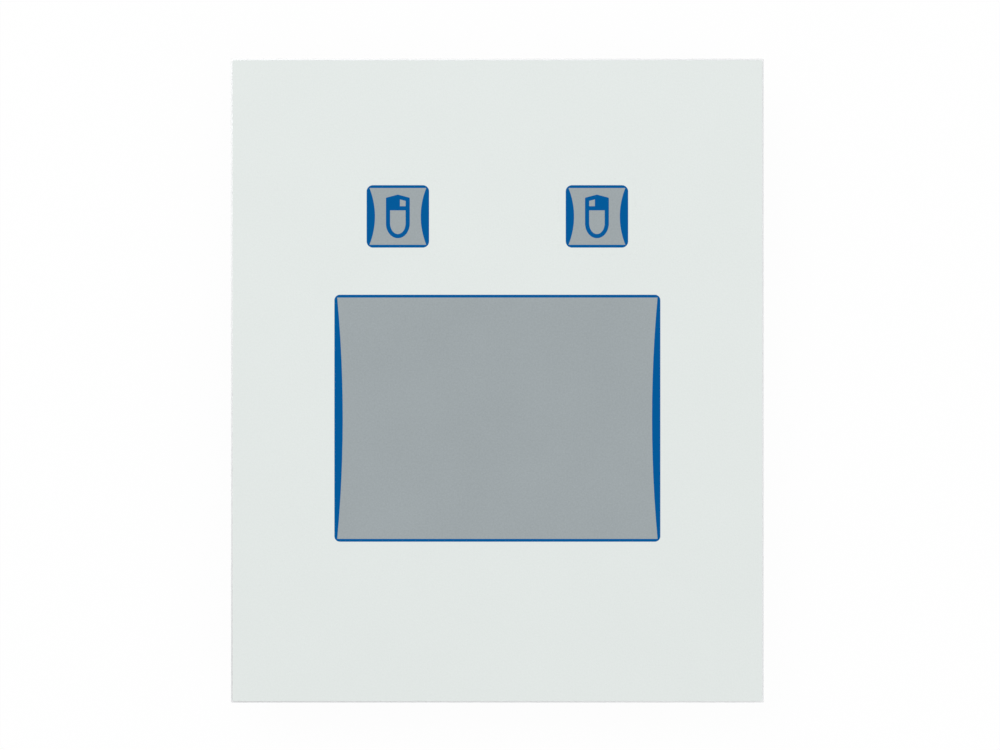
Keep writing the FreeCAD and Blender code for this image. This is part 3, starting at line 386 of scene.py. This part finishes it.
def moulded_plastic(name, colour, gloss, depth):
    """Injection-moulded plastic with an eroded grain and faint flow marks."""
    finish = Finish(name)
    grain = finish.noise(0.1, 3.0)
    flow = finish.noise(3.0, 2.0, (1, 3, 1))
    paint = finish.mix(0.5 * grain + 0.5 * flow, tone(colour, 0.88), tone(colour, 1.12))
    return finish.close(Base_Color=paint, Roughness=gloss + 0.14 * grain + 0.06 * flow,
                        Normal=finish.bump(grain, depth))


def solder_mask(finish, copper, gap_paint, copper_paint):
    """Glossy lacquer on woven glass: lighter and a little higher where copper lies under it."""
    weave = finish.noise(0.3, 2.0, (1, 2, 1))
    paint = finish.mix(copper, gap_paint, copper_paint)
    return finish.close(Base_Color=paint, Roughness=0.2 + 0.12 * weave,
                        Normal=finish.bump(0.8 * copper + 0.2 * weave, 0.03 * MM))


def circuit_board(name, colour):
    """A board whose copper tracks run left to right in some fields and upwards in others."""
    finish = Finish(name)
    x, y, _ = finish.split(finish.place)
    fields = finish.cells(TRACK_FIELD, settings={"distance": "CHEBYCHEV"}, output="Color") > 0.5
    across, upright = ((place / TRACK_PITCH) % 1 < TRACK_SHARE for place in (y, x))
    tracks = fields * across + (1 - fields) * upright
    return solder_mask(finish, tracks, tone(colour, 0.75), tone(colour, 1.6))


def electrode_board(name, colour):
    """A board with rows of diamond-shaped copper electrodes, as on a touch sensor."""
    finish = Finish(name)
    x, y, _ = finish.split(finish.place)
    gaps = [(place / ELECTRODE_PITCH) % 1 < ELECTRODE_GAP for place in (x + y, x - y)]
    diamonds = (1 - gaps[0]) * (1 - gaps[1])
    return solder_mask(finish, diamonds, tone(colour, 0.7), tone(colour, 1.5))


def plated_block(name, colour, plating, depth):
    """Chip plastic or ceramic with an eroded grain; faces marked as plated are tinned metal."""
    finish = Finish(name)
    plated = finish.node("ShaderNodeAttribute", {"attribute_name": PLATED_MARK}, output="Fac")
    grain = finish.noise(0.1, 3.0)
    block = finish.mix(grain, tone(colour, 0.88), tone(colour, 1.12))
    tin = finish.mix(grain, tone(plating, 0.92), tone(plating, 1.08))
    return finish.close(Base_Color=finish.mix(plated, block, tin), Metallic=plated,
                        Roughness=0.52 + 0.12 * grain - 0.24 * plated, Normal=finish.bump(grain, depth))


def laminated_cable(name, colour, conductor):
    """Tinned flat conductors side by side under a clear white film."""
    finish = Finish(name)
    x, _, _ = finish.split(finish.place)
    strips = abs((x / STRIP_PITCH) % 1 - 0.5) < STRIP_HALF
    paint = finish.mix(strips, tone(colour), tone(conductor))
    return finish.close(Base_Color=paint, Roughness=0.22 + 0.1 * finish.noise(0.8),
                        Normal=finish.bump(strips, 0.03 * MM))


STREAKS_LEFT_TO_RIGHT = (40, 1, 1)
STREAKS_UPWARDS = (1, 40, 1)
TIN = (0.5, 0.5, 0.49)
BOARD_GREEN = (0.02, 0.15, 0.06)
RECIPES = {
    "pale_film": (printed_film, (0.765, 0.808, 0.79), 0.045, 0.25),
    "blue_ink": (printed_film, (0.0, 0.101, 0.32), 0.08, 0.02),
    "grey_ink": (printed_film, (0.331, 0.371, 0.386), 0.17, 0.25),
    "adhesive": (clear_adhesive, (0.8, 0.8, 0.76)),
    "anodised_plate": (brushed_metal, (0.685, 0.69, 0.695), 0.5, 0.1, STREAKS_LEFT_TO_RIGHT, 0.004 * MM),
    "backing_sheet": (brushed_metal, (0.56, 0.565, 0.575), 0.26, 0.16, STREAKS_UPWARDS, 0.006 * MM),
    "cover_sheet_metal": (spangled_steel, (0.57, 0.58, 0.59)),
    "zinc_screws": (plated_metal, (0.5, 0.52, 0.55), (0.57, 0.55, 0.5), 0.2),
    "crystal_can": (plated_metal, (0.66, 0.66, 0.65), (0.7, 0.69, 0.66), 0.24),
    "socket_steel": (plated_metal, (0.7, 0.7, 0.69), (0.66, 0.67, 0.69), 0.22),
    "contact_gold": (plated_metal, (0.85, 0.64, 0.26), (0.8, 0.58, 0.2), 0.18),
    "dome_steel": (plated_metal, (0.7, 0.7, 0.7), (0.72, 0.68, 0.6), 0.2),
    "gasket_rubber": (cellular_rubber, (0.03, 0.03, 0.031), 0.35),
    "foam": (cellular_rubber, (0.045, 0.045, 0.047), 0.5),
    "socket_plastic": (moulded_plastic, (0.55, 0.53, 0.47), 0.42, 0.004 * MM),
    "plunger_plastic": (moulded_plastic, (0.75, 0.75, 0.72), 0.34, 0.003 * MM),
    "stem_plastic": (moulded_plastic, (0.03, 0.03, 0.032), 0.36, 0.003 * MM),
    "switch_plastic": (moulded_plastic, (0.03, 0.03, 0.032), 0.45, 0.006 * MM),
    "chip_plastic": (plated_block, (0.022, 0.022, 0.024), TIN, 0.008 * MM),
    "chip_ceramic": (plated_block, (0.42, 0.33, 0.24), TIN, 0.004 * MM),
    "circuit_board": (circuit_board, BOARD_GREEN),
    "cable_foil": (laminated_cable, (0.74, 0.75, 0.74), (0.5, 0.5, 0.49)),
}
FINISHES = {name: make(name, *values) for name, (make, *values) in RECIPES.items()}
OWN_FINISHES = {"touch_sensor_board": electrode_board("sensor_board", BOARD_GREEN)}
SLOTS = {part["node"]: part["material_slot"] for part in frame["record"]["subparts"]}


def finish_of(node):
    """The node's own finish, or else its slot's."""
    return OWN_FINISHES.get(node, FINISHES[SLOTS[node]])


for node, made in frame["nodes"].items():
    made.data.materials.clear()
    made.data.materials.append(finish_of(node))


def add_piece(name, mesh, node, smooth_degrees=30, rides=True):
    """Shows a mesh in place of a node, with the node's finish, on the node's body."""
    mesh.name = name
    mesh.materials.clear()
    mesh.materials.append(finish_of(node))
    mesh.polygons.foreach_set("use_smooth", [True] * len(mesh.polygons))
    mesh.set_sharp_from_angle(angle=math.radians(smooth_degrees))
    made = bpy.data.objects.new(name, mesh)
    bpy.context.scene.collection.objects.link(made)
    if rides:
        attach(made, frame["nodes"][node]["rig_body"])
        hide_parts(node)
    return made


def to_mesh(bm):
    """Points all faces outwards and gives back a plain mesh."""
    bmesh.ops.recalc_face_normals(bm, faces=bm.faces)
    mesh = bpy.data.meshes.new("mesh")
    bm.to_mesh(mesh)
    bm.free()
    return mesh


def arc_points(x, y, radius, start, end, steps):
    """Points on an arc about x and y; the angles are in degrees."""
    angles = [math.radians(start + (end - start) * step / steps) for step in range(steps + 1)]
    return [(x + radius * math.cos(angle), y + radius * math.sin(angle)) for angle in angles]


def rounded_outline(low, high, radius):
    """A rectangle with round corners, as points from its lower right corner on."""
    left, right = low.x + radius, high.x - radius
    bottom, top = low.y + radius, high.y - radius
    corners = ((right, bottom, -90), (right, top, 0), (left, top, 90), (left, bottom, 180))
    arcs = [arc_points(x, y, radius, start, start + 90, CORNER_STEPS) for x, y, start in corners]
    return [point for arc in arcs for point in arc]


def ring(bm, outline, level):
    """A closed row of vertices at one level."""
    return [bm.verts.new((x, y, level)) for x, y in outline]


def wall(bm, first, second):
    """Faces between two rings of as many vertices."""
    for index, vertex in enumerate(first):
        following = (index + 1) % len(first)
        bm.faces.new((vertex, first[following], second[following], second[index]))


def fill(bm, rings):
    """A flat face inside the first ring and outside the others."""
    edges = []
    for vertices in rings:
        for first, second in zip(vertices, vertices[1:] + vertices[:1]):
            edges.append(bm.edges.get((first, second)) or bm.edges.new((first, second)))
    bmesh.ops.triangle_fill(bm, edges=edges, use_beauty=True, normal=(0, 0, 1))


def key_square(side, half):
    """The corners of a square about a key's middle."""
    low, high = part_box(f"{side}_key_film")
    middle = (low + high) / 2
    return [(middle.x + x * half, middle.y + y * half) for x, y in ((1, -1), (1, 1), (-1, 1), (-1, -1))]


def front_sheet():
    """The film, open where it bends round the keys, with a shallow bed for the field's print."""
    low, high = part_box("front_film")
    field_low, field_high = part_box("touch_outline_print")
    outside = rounded_outline(low, high, FILM_CORNER)
    field = rounded_outline(field_low, field_high, FIELD_CORNER)
    outlines = [outside, *(key_square(side, FLEX_HALF) for side in ("left", "right"))]
    bm = bmesh.new()
    back, front = ([ring(bm, outline, level) for outline in outlines] for level in (low.z, high.z))
    bed, rim = ring(bm, field, field_low.z), ring(bm, field, high.z)
    for lower, upper in zip(back, front):
        wall(bm, lower, upper)
    wall(bm, bed, rim)
    fill(bm, back)
    fill(bm, [*front, rim])
    fill(bm, [bed])
    add_piece("printed_front_sheet", to_mesh(bm), "front_film")


def film_flex(side):
    """Four strips of film round a key, between the sheet and the moving square; they ride on no body."""
    low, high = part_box(f"{side}_key_film")
    middle, half = (low + high) / 2, (high.x - low.x) / 2
    levels = [place.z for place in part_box("front_film")]
    corner = half - KEY_CORNER
    inner = [*arc_points(corner, -corner, KEY_CORNER, -45, 0, FLEX_CORNER_STEPS),
             *arc_points(corner, corner, KEY_CORNER, 0, 45, FLEX_CORNER_STEPS)]
    diagonal = inner[-1][1]
    outer = [(FLEX_HALF, y * FLEX_HALF / diagonal) for x, y in inner]
    for name, degrees in (("right", 0), ("top", 90), ("left", 180), ("bottom", 270)):
        turn = Matrix.Rotation(math.radians(degrees), 3, "Z")
        bm = bmesh.new()
        strips = []
        for level, inwards in zip(levels, (1, -1)):
            rows = []
            for step in range(FLEX_STEPS + 1):
                share = step / FLEX_STEPS
                rows.append([(a[0] + (b[0] - a[0]) * share, a[1] + (b[1] - a[1]) * share, level)
                             for a, b in zip(inner, outer)])
            rows.append([(x + FLEX_TUCK, y, level + inwards * FLEX_TUCK_DEPTH) for x, y, _ in rows[-1]])
            strips.append([[bm.verts.new(turn @ Vector(place) + Vector((middle.x, middle.y, 0)))
                            for place in row] for row in rows])
        sides = [[[row[end] for row in rows] for rows in strips] for end in (0, -1)]
        ends = [[rows[end] for rows in strips] for end in (0, -1)]
        for rows in (*strips, *sides, *ends):
            for first, second in zip(rows, rows[1:]):
                for index in range(len(first) - 1):
                    bm.faces.new((first[index], first[index + 1], second[index + 1], second[index]))
        piece = add_piece(f"{side}_key_flex_{name}", to_mesh(bm), "front_film",
                          smooth_degrees=50, rides=False)
        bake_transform(piece)


def snap_dome(side):
    """The sprung dome under a switch's stem, shown in place of the node; it rides on no body."""
    node = f"{side}_switch_dome"
    low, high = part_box(node)
    middle = (low + high) / 2
    bm = bmesh.new()
    feet = []
    for inset in (0, DOME_SHEET):
        reach, tall = (high.x - low.x) / 2 - inset, high.z - low.z - inset
        rings = []
        for step in range(DOME_RINGS):
            share = step / DOME_RINGS
            circle = arc_points(middle.x, middle.y, reach * (1 - share), 0, 360, DOME_SIDES)[:-1]
            rings.append(ring(bm, circle, low.z + tall * share * (1 + DOME_BULGE * (1 - share))))
        for first, second in zip(rings, rings[1:]):
            wall(bm, first, second)
        top = bm.verts.new((middle.x, middle.y, low.z + tall))
        for index, vertex in enumerate(rings[-1]):
            bm.faces.new((vertex, rings[-1][(index + 1) % DOME_SIDES], top))
        feet.append(rings[0])
    wall(bm, *feet)
    piece = add_piece(f"{side}_snap_dome", to_mesh(bm), node, smooth_degrees=40, rides=False)
    foot, top = (Vector((middle.x, middle.y, level)) for level in (low.z, high.z - DOME_SHEET))
    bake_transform(piece)
    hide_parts(node)


def separate_boxes(node):
    """The lowest and highest corner of each solid of a node."""
    bm = bmesh.new()
    bm.from_mesh(frame["nodes"][node].data)
    bmesh.ops.remove_doubles(bm, verts=bm.verts, dist=MERGE)
    boxes, seen = [], set()
    for first in bm.verts:
        if first in seen:
            continue
        group, growing = [], [first]
        seen.add(first)
        while growing:
            vertex = growing.pop()
            group.append(vertex.co)
            neighbours = [edge.other_vert(vertex) for edge in vertex.link_edges]
            growing += [other for other in neighbours if other not in seen]
            seen.update(neighbours)
        boxes.append([Vector(choose(place[axis] for place in group) for axis in range(3))
                      for choose in (min, max)])
    bm.free()
    return boxes


def plated_parts(name, node):
    """Small chip parts: each a ceramic block between two plated ends that stand out a little."""
    bm = bmesh.new()
    marks = bm.faces.layers.float.new(PLATED_MARK)
    step = Vector((PLATED_STEP,) * 3)
    shares = (0, PLATED_SHARE, PLATED_SHARE, 1 - PLATED_SHARE, 1 - PLATED_SHARE, 1)
    block = (2, 3)
    for low, high in separate_boxes(node):
        lies_along_x = high.x - low.x > high.y - low.y
        rings = []
        for index, share in enumerate(shares):
            start, end = (low + step, high - step) if index in block else (low, high)
            sides = [(start, start), (end, start), (end, end), (start, end)]
            if lies_along_x:
                level = low.x + (high.x - low.x) * share
                places = [(level, side.y, top.z) for side, top in sides]
            else:
                level = low.y + (high.y - low.y) * share
                places = [(side.x, level, top.z) for side, top in sides]
            rings.append([bm.verts.new(place) for place in places])
        for index, (first, second) in enumerate(zip(rings, rings[1:])):
            known = len(bm.faces)
            wall(bm, first, second)
            bm.faces.ensure_lookup_table()
            for face in bm.faces[known:]:
                face[marks] = float(index != block[0])
        for end in (rings[0], rings[-1]):
            bm.faces.new(end)[marks] = 1.0
    break_edges(bm, PLATED_STEP, 1)
    add_piece(name, to_mesh(bm), node)


def break_edges(bm, width, steps):
    """Bevels the edges that are sharp."""
    edges = [edge for edge in bm.edges
             if edge.is_manifold and edge.calc_face_angle() > math.radians(SHARP_DEGREES)]
    bmesh.ops.bevel(bm, geom=edges, offset=width, segments=steps, profile=0.5, affect="EDGES",
                    clamp_overlap=True)


def softened(name, node, width):
    """A copy of a node with its sharp edges broken."""
    bm = bmesh.new()
    bm.from_mesh(frame["nodes"][node].data)
    bmesh.ops.remove_doubles(bm, verts=bm.verts, dist=MERGE)
    bmesh.ops.dissolve_limit(bm, angle_limit=math.radians(FLAT_DEGREES), verts=bm.verts, edges=bm.edges)
    break_edges(bm, width, BEVEL_STEPS)
    add_piece(name, to_mesh(bm), node, smooth_degrees=40)


class Shape(Graph):
    """A tree that builds a repeated part from named sizes."""

    def __init__(self, name):
        super().__init__(bpy.data.node_groups.new(name, "GeometryNodeTree"))
        self.tree.interface.new_socket("Shape", in_out="OUTPUT", socket_type="NodeSocketGeometry")
        self.name = name
        self.entries = {}
        self.across, self.along, _ = self.split(self.node("GeometryNodeInputPosition"))
        self.turn = self.across + 0.5
        self.angle = 2 * math.pi * self.turn

    def sizes(self, **numbers):
        """The tree's named inputs, in the order given, and what its modifier sets them to."""
        for name, value in numbers.items():
            kind = "NodeSocketInt" if isinstance(value, int) else "NodeSocketFloat"
            entry = self.tree.interface.new_socket(name, in_out="INPUT", socket_type=kind)
            self.entries[entry.identifier] = value
        return self.node("NodeGroupInput", output=tuple(numbers))

    def choice(self, row, items):
        """The item that belongs to a row."""
        inputs = dict(enumerate([row, *items]))
        return self.node("GeometryNodeIndexSwitch", {"data_type": "FLOAT", "items": len(items)}, inputs)

    def combine(self, x, y, z):
        return self.node("ShaderNodeCombineXYZ", {}, {0: x, 1: y, 2: z})

    def sheet(self, columns, rows, place):
        """A grid of one by one, wrapped round by giving each vertex its place; seams and poles close."""
        inputs = {"Size X": 1.0, "Size Y": 1.0, "Vertices X": columns, "Vertices Y": rows}
        grid = self.node("GeometryNodeMeshGrid", {}, inputs, "Mesh")
        wrapped = self.node("GeometryNodeSetPosition", {}, {"Geometry": grid, "Position": place})
        return self.node("GeometryNodeMergeByDistance", {}, {"Geometry": wrapped, "Distance": SEAM})

    def columns(self, rows):
        """The columns of a table, each read in the row of the grid."""
        row = (len(rows) - 1) * (self.along + 0.5) + 0.5
        return [self.choice(row, column) for column in zip(*rows)]

    def turned(self, rows, segments):
        """A solid of revolution through rows of radius and height, upwards on its outside."""
        radius, height = self.columns(rows)
        place = self.combine(radius * self.angle.cos(), radius * self.angle.sin(), height)
        return self.sheet(segments + 1, len(rows), place)

    def threaded(self, radius, depth, tip, length, turns, segments):
        """A threaded rod from level 0 upwards, with a blunt tip."""
        rows = THREAD_ROWS * (turns + 1) + 3
        step = ((self.along + 0.5) * (rows - 1) - 1) / THREAD_ROWS
        height = ((step - 1 + self.turn) * length / turns).at_least(0).at_most(length)
        flank = (FLANK_SLOPE * abs(2 * (step % 1) - 1) - FLANK_START).at_least(0).at_most(1)
        reach = (radius - depth * flank).at_most(tip + length - height).at_most(radius - depth + height)
        reach = reach * (abs(self.along) < ROD_INSIDE)
        place = self.combine(reach * self.angle.cos(), reach * self.angle.sin(), height)
        return self.sheet(segments + 1, rows, place)

    def bar(self, rows, width, thickness):
        """A flat bar bent in the plane of X and Z, through rows of x, z, their outward turn and a size."""
        x, z, out, up, size = self.columns(rows)
        corner = self.angle + math.pi / 4
        side, face = (wave.math("SIGN", wave) * size / 2 for wave in (corner.cos(), corner.sin()))
        face = face * thickness
        return self.sheet(5, len(rows), self.combine(x + out * face, side * width, z + up * face))

    def moved(self, part, way, turned=(0, 0, 0)):
        """The part, turned and then moved."""
        inputs = {"Geometry": part, "Rotation": turned, "Translation": way}
        return self.node("GeometryNodeTransform", {}, inputs)

    def marked(self, part):
        """The part, with its faces marked as plated."""
        settings = {"data_type": "FLOAT", "domain": "FACE"}
        inputs = {"Geometry": part, "Name": PLATED_MARK, "Value": 1.0}
        return self.node("GeometryNodeStoreNamedAttribute", settings, inputs)

    def join(self, *parts):
        made = self.tree.nodes.new("GeometryNodeJoinGeometry")
        for part in parts:
            self.tree.links.new(part.socket, made.inputs[0])
        return Value(self, made.outputs[0])

    def copies(self, part, points, turned=(0, 0, 0)):
        inputs = {"Points": points, "Instance": part, "Rotation": turned}
        return self.node("GeometryNodeInstanceOnPoints", {}, inputs)

    def spread(self, part, width, height, columns, rows):
        """The part at every crossing of a grid round the middle."""
        inputs = {"Size X": width, "Size Y": height, "Vertices X": columns, "Vertices Y": rows}
        return self.copies(part, self.node("GeometryNodeMeshGrid", {}, inputs, "Mesh"))

    def show(self, part, node, middle, turned=(0, 0, 0), smooth_degrees=35):
        """Moves the part to its place, makes it a plain mesh, and shows it in place of the node."""
        placed = self.moved(part, middle, turned)
        whole = self.node("GeometryNodeRealizeInstances", {}, {"Geometry": placed})
        coated = self.node("GeometryNodeSetMaterial", {}, {"Geometry": whole, "Material": finish_of(node)})
        self.node("NodeGroupOutput", {}, {0: coated})
        holder = bpy.data.objects.new(self.name, bpy.data.meshes.new(self.name))
        bpy.context.scene.collection.objects.link(holder)
        modifier = holder.modifiers.new("shape", "NODES")
        modifier.node_group = self.tree
        for identifier, value in self.entries.items():
            modifier[identifier] = value
        grown = holder.evaluated_get(bpy.context.evaluated_depsgraph_get())
        mesh = bpy.data.meshes.new_from_object(grown)
        bpy.data.objects.remove(holder)
        add_piece(self.name, mesh, node, smooth_degrees)


def mounting_studs():
    """Threaded studs behind the plate, each with the round head that is pressed into it."""
    low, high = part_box("mounting_studs")
    shape = Shape("threaded_mounting_studs")
    radius, length, turns, head, sunk, across, up = shape.sizes(
        Radius=STUD_RADIUS, Length=STUD_LENGTH, Turns=round(STUD_LENGTH / STUD_PITCH),
        Head=STUD_HEAD / 2, Sunk=STUD_SUNK,
        Across=high.x - low.x - STUD_HEAD, Up=high.y - low.y - STUD_HEAD)
    depth = THREAD_SHARE * length / turns
    rod = shape.threaded(radius, depth, radius - STUD_TIP, length, turns, STUD_SIDES)
    back, front = -1 * sunk, -STUD_HEAD_GAP
    collar = shape.turned([(0.0, back), (head, back), (head, front), (0.0, front)], STUD_SIDES)
    grid = shape.spread(shape.join(rod, collar), across, up, 2, 2)
    middle = (low + high) / 2
    shape.show(grid, "mounting_studs", (middle.x, middle.y, low.z + STUD_LENGTH), (math.pi, 0, 0))


def screws(name, node, columns, rows, head, neck, radius, pitch, recess, recess_depth, face):
    """Screws in a grid, seen from behind: a head with a hexagon recess, and a thread up to the top of
    the node. The face lists radius and depth from the flat of the head to its widest place."""
    low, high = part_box(node)
    shape = Shape(name)
    thread = high.z - low.z - neck
    wide, deep, reach, start, length, turns, across, up = shape.sizes(
        Recess=recess, Depth=recess_depth, Radius=radius, Neck=neck,
        Length=thread, Turns=round(thread / pitch),
        Across=high.x - low.x - 2 * head, Up=high.y - low.y - 2 * head)
    hexagon = wide / 2 / (shape.angle % (math.pi / 3) - math.pi / 6).cos()
    rim = wide / math.sqrt(3)
    inside = [(0.0, deep + RECESS_CONE * wide), (hexagon, deep), (hexagon, RECESS_EDGE),
              (rim + RECESS_EDGE, 0.0)]
    knob = shape.turned([*inside, *face, (reach, start), (0.0, start)], HEAD_SIDES)
    depth, tip = THREAD_SHARE * length / turns, SCREW_TIP_SHARE * reach
    rod = shape.threaded(reach, depth, tip, length, turns, SCREW_SIDES)
    raised = shape.moved(rod, shape.combine(0.0, 0.0, start))
    grid = shape.spread(shape.join(knob, raised), across, up, columns, rows)
    middle = (low + high) / 2
    shape.show(grid, node, (middle.x, middle.y, low.z))


def chip(name, node):
    """A chip on the back of its board: a moulded body with slanted sides, and bent leads all round."""
    low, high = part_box(node)
    shape = Shape(name)
    half, tall, width, step, count = shape.sizes(
        Half=(high.x - low.x) / 2, Height=high.z - low.z, Lead=LEAD_SHARE * LEAD_PITCH, Pitch=LEAD_PITCH,
        Leads=CHIP_LEADS)
    side = half - LEAD_REACH
    corner = math.sqrt(2)
    slanted = (side - CHIP_SLANT) * corner
    body = shape.turned([(0.0, STAND_OFF), (slanted, STAND_OFF), (side * corner, tall / 2),
                         (slanted, tall), (0.0, tall)], 4)
    square = shape.moved(body, (0, 0, 0), (0, 0, math.pi / 4))
    foot = LEAD_SHEET / 2
    bend = side + LEAD_BEND * LEAD_REACH
    path = [(side - STAND_OFF, tall / 2, 0, 1), (bend, tall / 2, 1, 1), (bend, foot, 1, 1),
            (half, foot, 0, 1)]
    rows = [(*path[0], 0), *[(*place, 1) for place in path], (*path[-1], 0)]
    lead = shape.marked(shape.bar(rows, width, LEAD_SHEET))
    start = shape.combine(0.0, -0.5 * (count - 1) * step, 0.0)
    places = {"Count": count, "Start Location": start, "Offset": shape.combine(0.0, step, 0.0)}
    row = shape.copies(lead, shape.node("GeometryNodeMeshLine", {}, places))
    quarter = shape.combine(0.0, 0.0, shape.node("GeometryNodeInputIndex") * (math.pi / 2))
    leads = shape.copies(row, shape.node("GeometryNodePoints", {}, {"Count": 4}), quarter)
    middle = (low + high) / 2
    shape.show(shape.join(square, leads), node, (middle.x, middle.y, high.z), (math.pi, 0, 0),
               smooth_degrees=20)


def camera():
    """Looks straight down on the film."""
    data = bpy.data.cameras.new("camera")
    data.lens = LENS
    data.sensor_width = SENSOR
    view_width = PICTURE_PIXELS / PIXELS_PER_MM * MM
    made = bpy.data.objects.new("camera", data)
    made.location = (VIEW_X, VIEW_Y, cad_box[1].z + view_width * LENS / SENSOR)
    bpy.context.scene.collection.objects.link(made)
    bpy.context.scene.camera = made


def lamp(name, share, place):
    """A square soft lamp that gives the middle of the film this share of the full light."""
    data = bpy.data.lights.new(name, "AREA")
    data.size = LAMP_SIZE
    aim = Vector((0, 0, cad_box[1].z)) - Vector(place)
    data.energy = share * math.pi ** 2 * aim.length ** 3 / -aim.z
    made = bpy.data.objects.new(name, data)
    made.location = place
    made.rotation_euler = aim.to_track_quat("-Z", "Y").to_euler()
    bpy.context.scene.collection.objects.link(made)


def background_rays(graph):
    """1 on rays that look at the background: the camera's, mirrored ones and those through glass."""
    rays = ("Is Camera Ray", "Is Glossy Ray", "Is Transmission Ray")
    seen, mirrored, through = graph.node("ShaderNodeLightPath", output=rays)
    return seen.at_least(mirrored).at_least(through)


def room():
    """An even pale room that looks white."""
    world = bpy.data.worlds.new("room")
    world.use_nodes = True
    graph = Graph(world.node_tree)
    strength = ROOM_LIGHT + (1 - ROOM_LIGHT) * background_rays(graph)
    shader = graph.node("ShaderNodeBackground", {}, {"Color": tone(WHITE), "Strength": strength})
    graph.node("ShaderNodeOutputWorld", {}, {"Surface": shader})
    bpy.context.scene.world = world


def floor():
    """A pale floor under the cover, white to the eye, that keeps a light shadow."""
    finish = Finish("floor")
    paper = finish.mix(finish.noise(40.0), tone(WHITE, 0.92), tone(WHITE, 0.96))
    matte = finish.node("ShaderNodeBsdfDiffuse", {}, {"Color": paper})
    glow = finish.node("ShaderNodeEmission", {}, {"Color": tone(WHITE), "Strength": 1.0})
    share = FLOOR_GLOW * background_rays(finish)
    both = finish.node("ShaderNodeMixShader", {}, {0: share, 1: matte, 2: glow})
    finish.node("ShaderNodeOutputMaterial", {}, {"Surface": both})
    bm = bmesh.new()
    bmesh.ops.create_grid(bm, x_segments=1, y_segments=1, size=FLOOR_HALF)
    mesh = bpy.data.meshes.new("floor")
    bm.to_mesh(mesh)
    bm.free()
    mesh.transform(Matrix.Translation((0, 0, cad_box[0].z - FLOOR_GAP)))
    mesh.materials.append(finish.material)
    made = bpy.data.objects.new("floor", mesh)
    bpy.context.scene.collection.objects.link(made)


front_sheet()
for side in ("left", "right"):
    film_flex(side)
    snap_dome(side)
for name, node, width in (
        ("machined_front_plate", "front_plate", 0.06),
        ("pressed_rear_cover", "rear_cover", 0.1),
        ("die_cut_gasket", "panel_gasket", 0.08),
        ("folded_socket_shell", "usb_socket_shell", 0.05),
        ("moulded_socket_tongue", "usb_socket_tongue", 0.08),
        ("stamped_socket_contacts", "usb_socket_contacts", 0.03),
        ("turned_plate_spacers", "plate_spacers", 0.08),
        ("turned_cover_spacers", "cover_spacers", 0.08),
        ("stamped_backing_plate", "sensor_backing_plate", 0.06),
        ("cut_foam_pad", "sensor_foam_pad", 0.1),
        ("routed_controller_board", "controller_board", 0.04),
        ("routed_sensor_board", "touch_sensor_board", 0.04),
        ("moulded_board_socket", "board_cable_socket", 0.08),
        ("moulded_sensor_socket", "sensor_cable_socket", 0.08),
        ("drawn_crystal_can", "clock_crystal", 0.25),
        ("moulded_regulator", "voltage_regulator", 0.15),
):
    softened(name, node, width * MM)
for side in ("left", "right"):
    for name, node, width in (
            ("moulded_plunger", "key_plunger", 0.12),
            ("moulded_switch_base", "switch_base", 0.1),
            ("riveted_switch_cover", "switch_cover", 0.04),
            ("moulded_switch_stem", "switch_stem", 0.1),
            ("tinned_terminals", "switch_terminals", 0.06),
    ):
        softened(f"{side}_{name}", f"{side}_{node}", width * MM)
plated_parts("plated_board_parts", "board_small_parts")
plated_parts("plated_sensor_parts", "sensor_small_parts")
mounting_studs()
screws("flush_cover_screws", "cover_screws", columns=2, rows=2, head=2.35 * MM, neck=1.1 * MM,
       radius=1.22 * MM, pitch=0.45 * MM, recess=1.5 * MM, recess_depth=0.9 * MM,
       face=[(2.27 * MM, 0.0), (2.31 * MM, 0.04 * MM)])
screws("pan_head_screws", "backing_plate_screws", columns=2, rows=3, head=1.9 * MM, neck=1.3 * MM,
       radius=1.0 * MM, pitch=0.4 * MM, recess=1.3 * MM, recess_depth=0.7 * MM,
       face=[(1.3 * MM, 0.03 * MM), (1.65 * MM, 0.2 * MM), (1.83 * MM, 0.5 * MM), (1.9 * MM, 0.85 * MM),
             (1.9 * MM, 1.25 * MM), (1.85 * MM, 1.3 * MM)])
chip("leaded_touch_controller", "touch_controller_chip")
chip("leaded_usb_controller", "usb_controller_chip")
camera()
for name, share, place in LAMPS:
    lamp(name, share, place)
room()
floor()
bpy.context.scene.view_settings.view_transform = "Standard"
